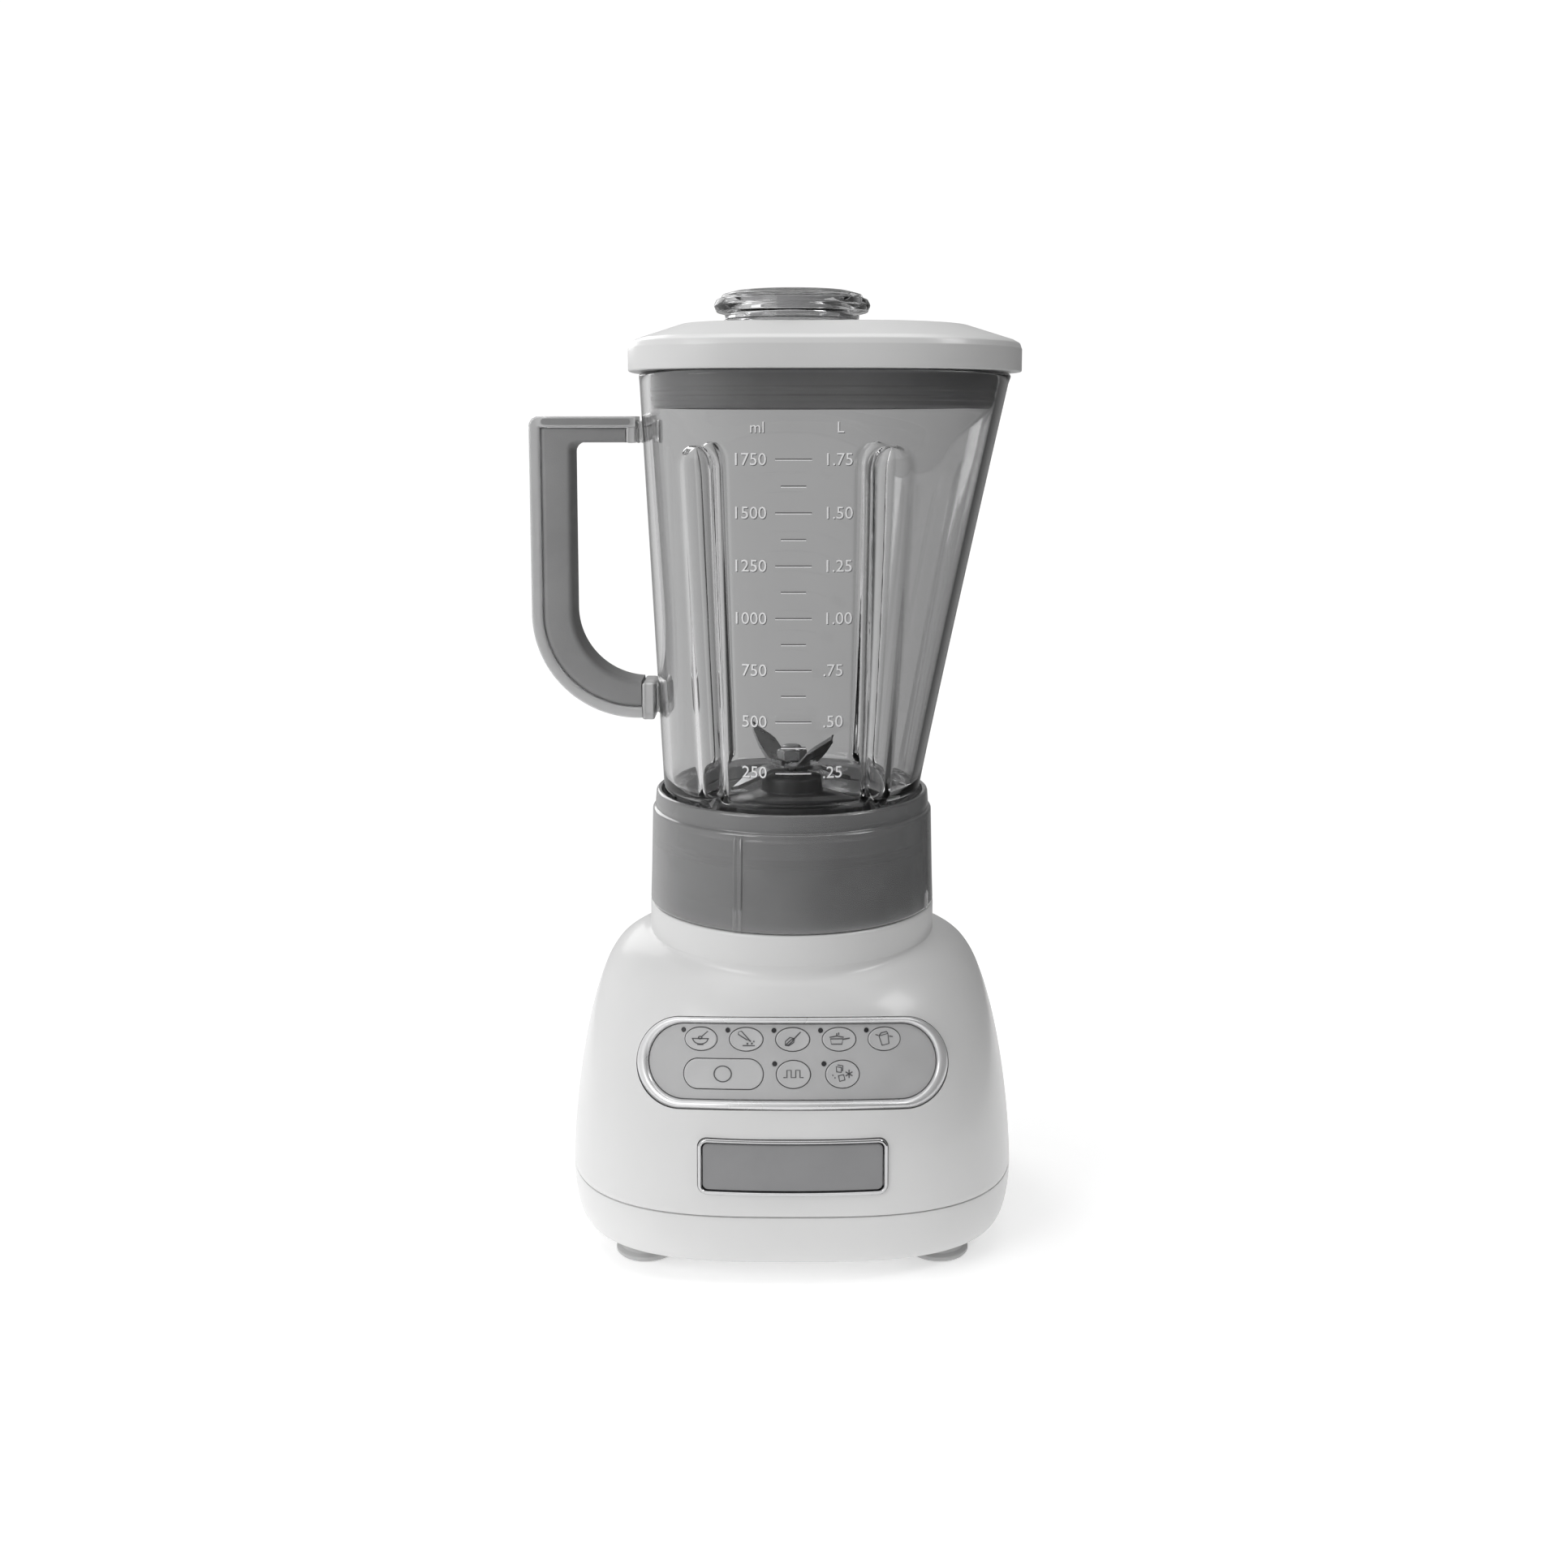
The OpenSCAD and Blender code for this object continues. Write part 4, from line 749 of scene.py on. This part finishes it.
def flute_depth(z):
    if z >= FLUTE_TOP:
        return 0.0
    if z > FLUTE_CURVE:
        return FLUTE_DEEP * math.sqrt(1 - ((z - FLUTE_CURVE) / (FLUTE_TOP - FLUTE_CURVE)) ** 2)
    return FLUTE_DEEP * clamp((z - FLUTE_FOOT) / 8)


def flute_width(z):
    """Half width of a flute in degrees, closing to a round top."""
    past = max((z - FLUTE_TOP + FLUTE_ROUND) / FLUTE_ROUND, 0)
    return 7.5 * math.sqrt(max(1 - past ** 2, 1e-6))


def flute_share(t, z):
    """How much of the flutes' depth direction t has, from 0 to 1."""
    up = jar_up(z)
    degrees = math.degrees(t)
    w = flute_width(z)
    total = 0.0
    for a in (52 + 6 * up, -52 - 6 * up, 126 - 1.3 * up, -126 + 1.3 * up):
        d = abs((degrees - a + 540) % 360 - 180)
        total += 0 if d >= w else (1 + math.cos(math.pi * d / w)) / 2
    return total


def jar_radius(t, z):
    """Rounded square that widens towards the rim, with a spout at t = 0 and four flutes."""
    up = jar_up(z)
    a, n = 55.8 + 8.6 * up, 2.1 + 0.7 * up
    c, s = abs(math.cos(t)), abs(math.sin(t))
    spout = 28 * up ** 1.05 * max(0, math.cos(t)) ** 2.6
    return a / (c ** n + s ** n) ** (1 / n) + spout - flute_depth(z) * flute_share(t, z)


def jar_ring(inset, z, at=None):
    """Ring at z, drawn in by inset from the jar's outline at that height or at another."""
    level = z if at is None else at
    return polar_ring(lambda t: jar_radius(t, level) - inset, z, JAR_ANGLES)


def circle_ring(r, z):
    return polar_ring(lambda t: r, z, JAR_ANGLES)


def jar_body():
    steps = [190, 192, 194, 197, 201, 206, 212, 220, 230, 240, 252, 264, 276, 288, 300, 308, 314]
    steps += [319, 322, 325]
    steps += [FLUTE_TOP - FLUTE_ROUND + FLUTE_ROUND * math.sin(math.radians(a))
              for a in range(0, 91, 6)]
    steps += [338, 341, 345, 350, 356, 361]
    rings = [circle_ring(r, z) for r, z in ((46.3, JAR_FOOT), (53.6, JAR_FOOT), (54, JAR_FOOT + 0.5),
                                            (54, 180.5), (54.4, 182.0), (55.3, 184.0), (55.6, 186.0))]
    rings += [jar_ring(0, z) for z in steps]
    for a in range(0, 181, 20):
        t = math.radians(a)
        rings.append(jar_ring(JAR_WALL / 2 * (1 - math.cos(t)),
                              JAR_RIM - JAR_WALL / 2 * (1 - math.sin(t)), at=JAR_RIM))
    rings += [jar_ring(JAR_WALL, z) for z in reversed(steps) if z > 192]
    rings += [jar_ring(3.7, 191.0), jar_ring(4.3, 189.6), jar_ring(5.3, 188.9)]
    rings += [circle_ring(r, z) for r, z in ((46.8, 188.4), (46.1, 187.6), (46, 178.5),
                                             (46, JAR_FOOT + 0.4))]
    obj = mesh_object("jar_wall", *loft(rings, wrap=True), sharp=60)
    return piece(obj, "jar", "clear_jar", "jar_body")


jar_body()


def front_y(x, z):
    """Where the jar's front wall is at x and z."""
    y = -56.0
    for _ in range(6):
        r = jar_radius(math.atan2(y, x), z)
        y = -math.sqrt(r * r - x * x)
    return y


def on_jar(verts, lift):
    """Wraps flat (x, z, depth) points on to the jar's front wall."""
    return [(x, front_y(x, z) - lift - d, z) for x, z, d in verts]


def text_mesh(text, size, x, z, align, lift):
    """Raised characters centred at height z on the jar's front."""
    curve = bpy.data.curves.new("text", "FONT")
    curve.body = text
    curve.size = size
    curve.align_x = align
    curve.align_y = "CENTER"
    curve.extrude = 0.17
    curve.resolution_u = 3
    obj = bpy.data.objects.new("text", curve)
    bpy.context.scene.collection.objects.link(obj)
    bpy.context.view_layer.update()
    mesh = bpy.data.meshes.new_from_object(obj.evaluated_get(bpy.context.evaluated_depsgraph_get()))
    verts = [(v.co.x + x, v.co.y + z, v.co.z) for v in mesh.vertices]
    faces = [tuple(p.vertices) for p in mesh.polygons]
    bpy.data.objects.remove(obj)
    return on_jar(verts, lift), faces


def scale_marks():
    top_mark, pitch, middle = 330.5, 10.53, 0.3
    ticks, tick_painted_highlights, labels = [], [], []
    for i in range(13):
        z = top_mark - pitch * i
        half = 7.25 if i % 2 == 0 else 5.0
        # Each tick is a dark printed line with a light strip just under it; the strip is a painted
        # highlight.
        for low, high, store in ((0.02, 0.42, ticks), (-0.38, 0.0, tick_painted_highlights)):
            rings = []
            for j in range(9):
                x = middle - half + 2 * half * j / 8
                y = front_y(x, z)
                rings.append([(x, y + 0.1, z + low), (x, y - 0.2, z + low), (x, y - 0.2, z + high),
                              (x, y + 0.1, z + high)])
            store.append(loft(rings))
        if i % 2 == 0:
            litres = 1.75 - 0.25 * i / 2
            amount = f"{litres:.2f}".lstrip("0")
            labels.append((str(int(litres * 1000)), 6.9, -10.3, z, "RIGHT"))
            labels.append((amount, 6.9, 12.0, z, "LEFT"))
    labels.append(("ml", 6.2, -14.0, 343, "CENTER"))
    labels.append(("L", 6.2, 18.6, 343, "CENTER"))
    # The raised numbers are real marks on the jar; their light colour is a painted highlight standing
    # in for the lit edges of clear embossing.
    numbers = [text_mesh(*label, lift=0.3) for label in labels]
    # Dark copies of the numbers, set 0.28 mm right and down just behind them: painted shadows.
    number_painted_shadows = [text_mesh(text, size, x + 0.28, z - 0.28, align, lift=0.02)
                    for text, size, x, z, align in labels]
    # Ticks are dark print. The light tick strips and the number faces are painted highlight, and the
    # dark number copies are painted shadow.
    for name, parts, finish in (("scale_ticks", ticks, "ink_and_painted_shadow"),
                                ("scale_tick_edges", tick_painted_highlights, "scale_painted_highlight"),
                                ("scale_numbers", numbers, "scale_painted_highlight"),
                                ("scale_number_edges", number_painted_shadows, "ink_and_painted_shadow")):
        piece(mesh_object(name, *join(*parts), merge=False), "jar", "clear_jar", finish=finish)


scale_marks()


# ---- handle ----

HANDLE_X, LIMB_TOP, ARC_Z = -111.0, 347.6, 264.0


def limb_path(x0, top, corner, ends, arc_x, arc_z, r):
    """Along the top limb from ends[0], round the corner, down, and round an arc to ends[1]."""
    points = [(ends[0] + (x0 + corner - ends[0]) * i / 12, top) for i in range(12)]
    for i in range(11):
        t = math.radians(9 * i)
        points.append((x0 + corner - corner * math.sin(t), top - corner + corner * math.cos(t)))
    side_top = top - corner
    points += [(x0, side_top + (arc_z - side_top) * i / 16) for i in range(1, 16)]
    last = math.degrees(math.acos(clamp((arc_x - ends[1]) / r, -1, 1)))
    for i in range(41):
        t = math.radians(last * i / 40)
        points.append((arc_x - r * math.cos(t), arc_z - r * math.sin(t)))
    return points


def outer_path(inset, ends=(-66.0, -64.4)):
    """The handle's outside, from its top end to its lower end."""
    return limb_path(HANDLE_X + inset, LIMB_TOP - inset, max(4 - inset, 0.6), ends,
                     -66, ARC_Z, 45 - inset)


def gap_path(ends):
    """The finger gap's edge, matched point for point with outer_path()."""
    return limb_path(HANDLE_X + 17.8, LIMB_TOP - 11, 4, ends, -63, ARC_Z + 1, 30.2)


def band(outer, inner, half_w, edge, steps=4):
    """Bar between two matched paths, with rounded edges."""
    rings = []
    for (ax, az), (bx, bz) in zip(outer, inner):
        length = math.hypot(bx - ax, bz - az)
        dx, dz = (bx - ax) / length, (bz - az) / length
        ring = []
        for s, (cx, cy) in enumerate(((edge, half_w - edge), (length - edge, half_w - edge),
                                      (length - edge, edge - half_w), (edge, edge - half_w))):
            for i in range(steps + 1):
                t = math.radians(180 - 90 * s - 90 * i / steps)
                ring.append((cx + edge * math.cos(t), cy + edge * math.sin(t)))
        rings.append([(ax + dx * d, y, az + dz * d) for d, y in ring])
    return loft(rings)


def block(x0, x1, y0, y1, z0, z1):
    return prism([(x0, y0), (x1, y0), (x1, y1), (x0, y1)], z0, z1)


def stud(x0, x1, z, half_h, half_w, grooves):
    """Ringed stud lying along X: rounded outline that swells between its grooves."""
    rings = []
    steps = 40
    for i in range(steps + 1):
        f = i / steps
        k = 1 - 0.07 * (0.5 - 0.5 * math.cos(2 * math.pi * grooves * f))
        if i in (0, steps):
            k -= 0.06
        shape = outline(2 * half_w * k, 2 * half_h * k, 2.4, 0, corner=6, side=3, end=3)
        rings.append([(x0 + (x1 - x0) * f, y, z + v) for y, v in shape])
    return loft(rings)


def handle():
    rim = band(outer_path(0), outer_path(4.6), 12.0, 1.1)
    rim_obj = mesh_object("handle_rim", *rim, sharp=50)
    piece(rim_obj, "jar", "clear_jar", "handle_frame", finish="clear_rim")
    grip_ends = (-70.3, -64.6)
    grip = band(outer_path(4.75, grip_ends), gap_path(grip_ends), 11.4, 2.6, steps=5)
    grip_obj = mesh_object("handle_grip_pad", *grip, sharp=50)
    piece(grip_obj, "jar", "soft_grip", "handle_grip")
    ends = {"handle_end_top": (-70.1, -65.6, 336.4, 343.2),
            "handle_end_low": (-64.4, -58.9, 218.2, 234.2)}
    for name, (x0, x1, z0, z1) in ends.items():
        end = bevel(mesh_object(name, *block(x0, x1, -11.6, 11.6, z0, z1)), 1.2, segments=4)
        piece(end, "jar", "clear_jar", "handle_frame", finish="clear_rim")
    inlay_x, inlay_z = -87.0, 345.3
    shape = outline(37.5, 2.5, 1.2, 0, corner=6, side=12, end=2)
    inlays = [loft([[(inlay_x + x, side * y, inlay_z + v) for x, v in shape] for y in (11.2, 12.15)])
              for side in (-1, 1)]
    piece(mesh_object("handle_inlay", *join(*inlays), sharp=50), "jar", "clear_jar", "handle_frame",
          finish="soft_grip")
    studs = join(stud(-65.8, -58.0, 341.2, 4.9, 7.0, 3), stud(-59.2, -54.6, 226.7, 6.6, 7.0, 2))
    piece(mesh_object("handle_studs", *studs, sharp=60), "jar", "clear_jar", "handle_frame")


handle()


# ---- lid and cap ----

LID_Z = JAR_RIM + 0.3
LID_TOP = box_mm("lid")[1].z


def lid():
    profile = [(4.4, LID_Z, 0.4), (0, LID_Z, 0.7), (0, LID_Z + 9.4, 1.5), (0.9, LID_Z + 11.8, 1.5),
               (3.4, LID_Z + 13.2, 3.0), (22.5, LID_Z + 19.3, 6.0), (29.0, LID_Z + 19.8, 3.0)]
    over, flat_inset, flat_z, hole_r = 4.54, 25.4, LID_Z + 19.85, 28.6
    rings = [jar_ring(7.0, LID_Z, at=JAR_RIM)]
    rings += [jar_ring(inset - over, min(z, LID_TOP - 0.3), at=JAR_RIM)
              for inset, z in arc_points(profile, 6)[1:]]
    for share in (0.25, 0.5, 0.75, 1.0):
        def radius(t, share=share):
            return (jar_radius(t, JAR_RIM) - flat_inset) * (1 - share) + hole_r * share
        rings.append(polar_ring(radius, flat_z + (LID_TOP - flat_z) * share, JAR_ANGLES))
    rings += [circle_ring(r, z) for r, z in ((27.6, LID_TOP), (27.15, LID_TOP - 0.5), (27.1, 360),
                                             (27.1, 358), (29.5, 358), (29.5, LID_TOP - 3.4))]
    for inset, z in ((30, LID_TOP - 3.2), (20, LID_Z + 14.5), (9, LID_Z + 8), (7.0, LID_Z + 7)):
        rings.append(polar_ring(lambda t, inset=inset: max(jar_radius(t, JAR_RIM) - inset, 30.0),
                                z, JAR_ANGLES))
    rings += [jar_ring(9.5, LID_Z + 4, at=JAR_RIM), jar_ring(9.5, 352), jar_ring(7.0, 352)]
    obj = mesh_object("lid_shell", *loft(rings, wrap=True), sharp=50)
    return piece(obj, "lid", "white_shell", "lid")


lid()


def seal():
    low = box_mm("lid_seal")[0].z
    profile = [(5.1, low, 0.3), (4.3, 352, 0.4), (4.3, 353.6, 0.2), (3.85, 354.2, 0.25),
               (3.85, 355.4, 0.25), (4.3, 356, 0.2), (4.3, 357.5, 0.2), (4.0, 358.0, 0.2),
               (4.0, 359.0, 0.2), (4.3, 359.5, 0.2), (4.3, 365.5, 0.3), (6.9, 365.5, 0.3),
               (6.9, low, 0.3)]
    rings = [jar_ring(inset, z) for inset, z in arc_points(profile, 3)]
    obj = mesh_object("lid_seal_ring", *loft(rings, wrap=True), sharp=50)
    return piece(obj, "lid", "seal_rubber", "lid_seal")


seal()


def cap():
    top = box_mm("measuring_cap")[1].z
    low = box_mm("measuring_cap")[0].z
    seat = LID_TOP + 0.3
    profile = [(0, top, 0), (24.0, top - 0.05, 3), (29.5, top - 1.5, 1.5), (30.2, top - 3.0, 0.5),
               (32.0, top - 3.6, 1.0), (33.2, top - 6.0, 1.6), (32.0, top - 8.9, 1.0),
               (28.6, top - 9.7, 0.8), (28.2, seat + 1.8, 0.4), (29.0, seat + 1.2, 0.4),
               (28.9, seat, 0.4), (26.7, seat, 0.3),
               (25.3, low, 0.8), (22.7, low, 0.8), (23.7, 386, 2.0), (21.6, top - 4, 2.0),
               (0, top - 3, 0)]
    obj = mesh_object("cap_cup", *lathe(profile, 192, 5), sharp=50)
    return piece(obj, "cap", "clear_cap", "measuring_cap")


cap()


# ---- blades ----

def blade(name, z, root, reach, angle, turn, node):
    """Bent double arm with ground edges, matching the CAD blade."""
    thick, grind, edge = 1.6, 1.6, 0.25
    half_w, tip_w = 6.0, 4
    slope, lean = math.tan(math.radians(angle)), math.cos(math.radians(angle))
    middle, knee, tip = (root + reach) / 2, root + (reach - root) * 0.4, reach - 2

    def at(x, y, top):
        drop = max(abs(x) - root, 0)
        skin = thick if drop == 0 else thick / lean
        return (x, y, slope * drop + (skin if top else 0))
    rings = []
    for i in range(25):
        x = -reach + 2 * reach * (i / 24)
        k, side = abs(x), 1 if x >= 0 else -1
        low, high = -half_w, half_w
        if k > middle:
            low += (half_w + 1) * (k - middle) / ((reach - root) / 2)
        if k > tip:
            high = tip_w - 2.6 * (k - tip) / 2
        elif k > knee:
            high += (tip_w - half_w) * (k - knee) / (tip - knee)
        a, b = side * low, side * high
        start = at(x, a, False)
        rings.append([start, at(x, b, False), at(x, b, True), at(x, a + side * grind, True),
                      (x, a, start[2] + edge)])
    matrix = Matrix.Translation((0, 0, z)) @ Matrix.Rotation(math.radians(turn), 4, "Z")
    obj = mesh_object(name, *moved(loft(rings), matrix), sharp=25)
    return piece(obj, "blades", "blade_steel", node)


blade("blade_low", 195.0, 11, 28.3, -24, 20, "blade_lower")
blade("blade_high", 197.5, 9, 23.6, 42, 132, "blade_upper")


def blade_fittings():
    nut = [[(k * x, k * y, z) for x, y in ellipse(6.5, 6.5, count=6)]
           for z, k in ((199.2, 0.94), (199.5, 1.0), (203.0, 1.0), (203.5, 0.93))]
    dome = lathe([(0, 203.3, 0), (5.2, 203.4, 0.3), (3.4, 205.5, 1.0), (0, 205.6, 0)], 48)
    obj = mesh_object("hub_nut", *join(loft(nut), dome))
    piece(obj, "blades", "blade_steel", "blade_nut")
    dish = [(14, 160, 0.6), (14, 168.1, 0), (52, 168.1, 0.4), (52, 171.1, 0.6), (33.5, 171.1, 1.2),
            (30.6, 173.4, 1.0), (28.4, 178.0, 1.5), (24.0, 181.5, 1.5), (18.5, 184.0, 1.5),
            (13.4, 185.6, 0.8), (12.9, 192.0, 1.2), (8.1, 193.2, 0.3), (8.1, 173, 0),
            (5.3, 173, 0), (5.3, 169, 0), (8.1, 169, 0), (8.1, 160.2, 0)]
    obj = mesh_object("blade_base_moulded", *lathe(dish, 160), sharp=50)
    piece(obj, "collar", "blade_base", "blade_housing")


blade_fittings()


# ---- floor, light and camera ----

def floor():
    rings = [[(x, y, 0) for x, y in ellipse(r, r, count=96)]
             for r in (0.0, 40, 80, 130, 190, 260, 350, 450)]
    obj = mesh_object("floor", *loft(rings, caps=False))
    obj.location.z = -0.0002
    obj.data.materials.append(material("floor_paper", (0.90, 0.90, 0.90), 0.75, vary=0.004,
                                       bump=0.02, grain=300, depth=0.0001,
                                       Emission_Color=(1, 1, 1, 1), Emission_Strength=0.34))


floor()


def area(name, place, target, size, power):
    """Rectangular light at place, in metres, aimed at target."""
    data = bpy.data.lights.new(name, "AREA")
    data.shape = "RECTANGLE"
    data.size, data.size_y = size
    data.energy = power
    obj = bpy.data.objects.new(name, data)
    bpy.context.scene.collection.objects.link(obj)
    obj.location = place
    obj.rotation_euler = (Vector(target) - Vector(place)).to_track_quat("-Z", "Y").to_euler()


area("key_light", (-1.25, -1.15, 1.05), (0, 0, 0.18), (0.9, 1.1), 9.8)
area("top_light", (0.0, 0.1, 1.5), (0, 0, 0.2), (1.4, 1.2), 7.5)
area("side_light", (1.15, -0.45, 1.35), (0.05, 0, 0.14), (0.5, 0.5), 5.5)
area("rear_light", (-0.7, 1.3, 0.9), (0, 0, 0.2), (0.7, 1.0), 4)


def studio():
    """White paper behind, and softer grey light that fades from left to right."""
    scene = bpy.context.scene
    world = bpy.data.worlds.new("studio")
    scene.world = world
    world.use_nodes = True
    tree = world.node_tree
    tree.nodes.clear()
    place = tree.nodes.new("ShaderNodeTexCoord")
    split = tree.nodes.new("ShaderNodeSeparateXYZ")
    tree.links.new(place.outputs["Generated"], split.inputs["Vector"])
    level = ramp(tree, split.outputs["X"], 0.78, 0.06, -0.8, 0.6)
    soft = tree.nodes.new("ShaderNodeBackground")
    soft.inputs["Color"].default_value = (1, 1, 1, 1)
    tree.links.new(level, soft.inputs["Strength"])
    paper = tree.nodes.new("ShaderNodeBackground")
    paper.inputs["Color"].default_value = (1, 1, 1, 1)
    paper.inputs["Strength"].default_value = 1.05
    path = tree.nodes.new("ShaderNodeLightPath")
    mix = tree.nodes.new("ShaderNodeMixShader")
    tree.links.new(path.outputs["Is Camera Ray"], mix.inputs["Fac"])
    tree.links.new(soft.outputs["Background"], mix.inputs[1])
    tree.links.new(paper.outputs["Background"], mix.inputs[2])
    end = tree.nodes.new("ShaderNodeOutputWorld")
    tree.links.new(mix.outputs["Shader"], end.inputs["Surface"])
    scene.view_settings.view_transform = "Standard"


studio()


def camera():
    """Product view from in front, near the top of the jar and tilted 7.1 degrees down."""
    lens = bpy.data.cameras.new("camera")
    lens.lens = 39.242
    lens.sensor_width = 36.0
    lens.shift_y = -0.095
    obj = bpy.data.objects.new("camera", lens)
    bpy.context.scene.collection.objects.link(obj)
    obj.location = (-0.003466, -0.73557, 0.34518)
    obj.rotation_euler = (math.radians(90 - 7.104), 0, 0)
    bpy.context.scene.camera = obj


camera()
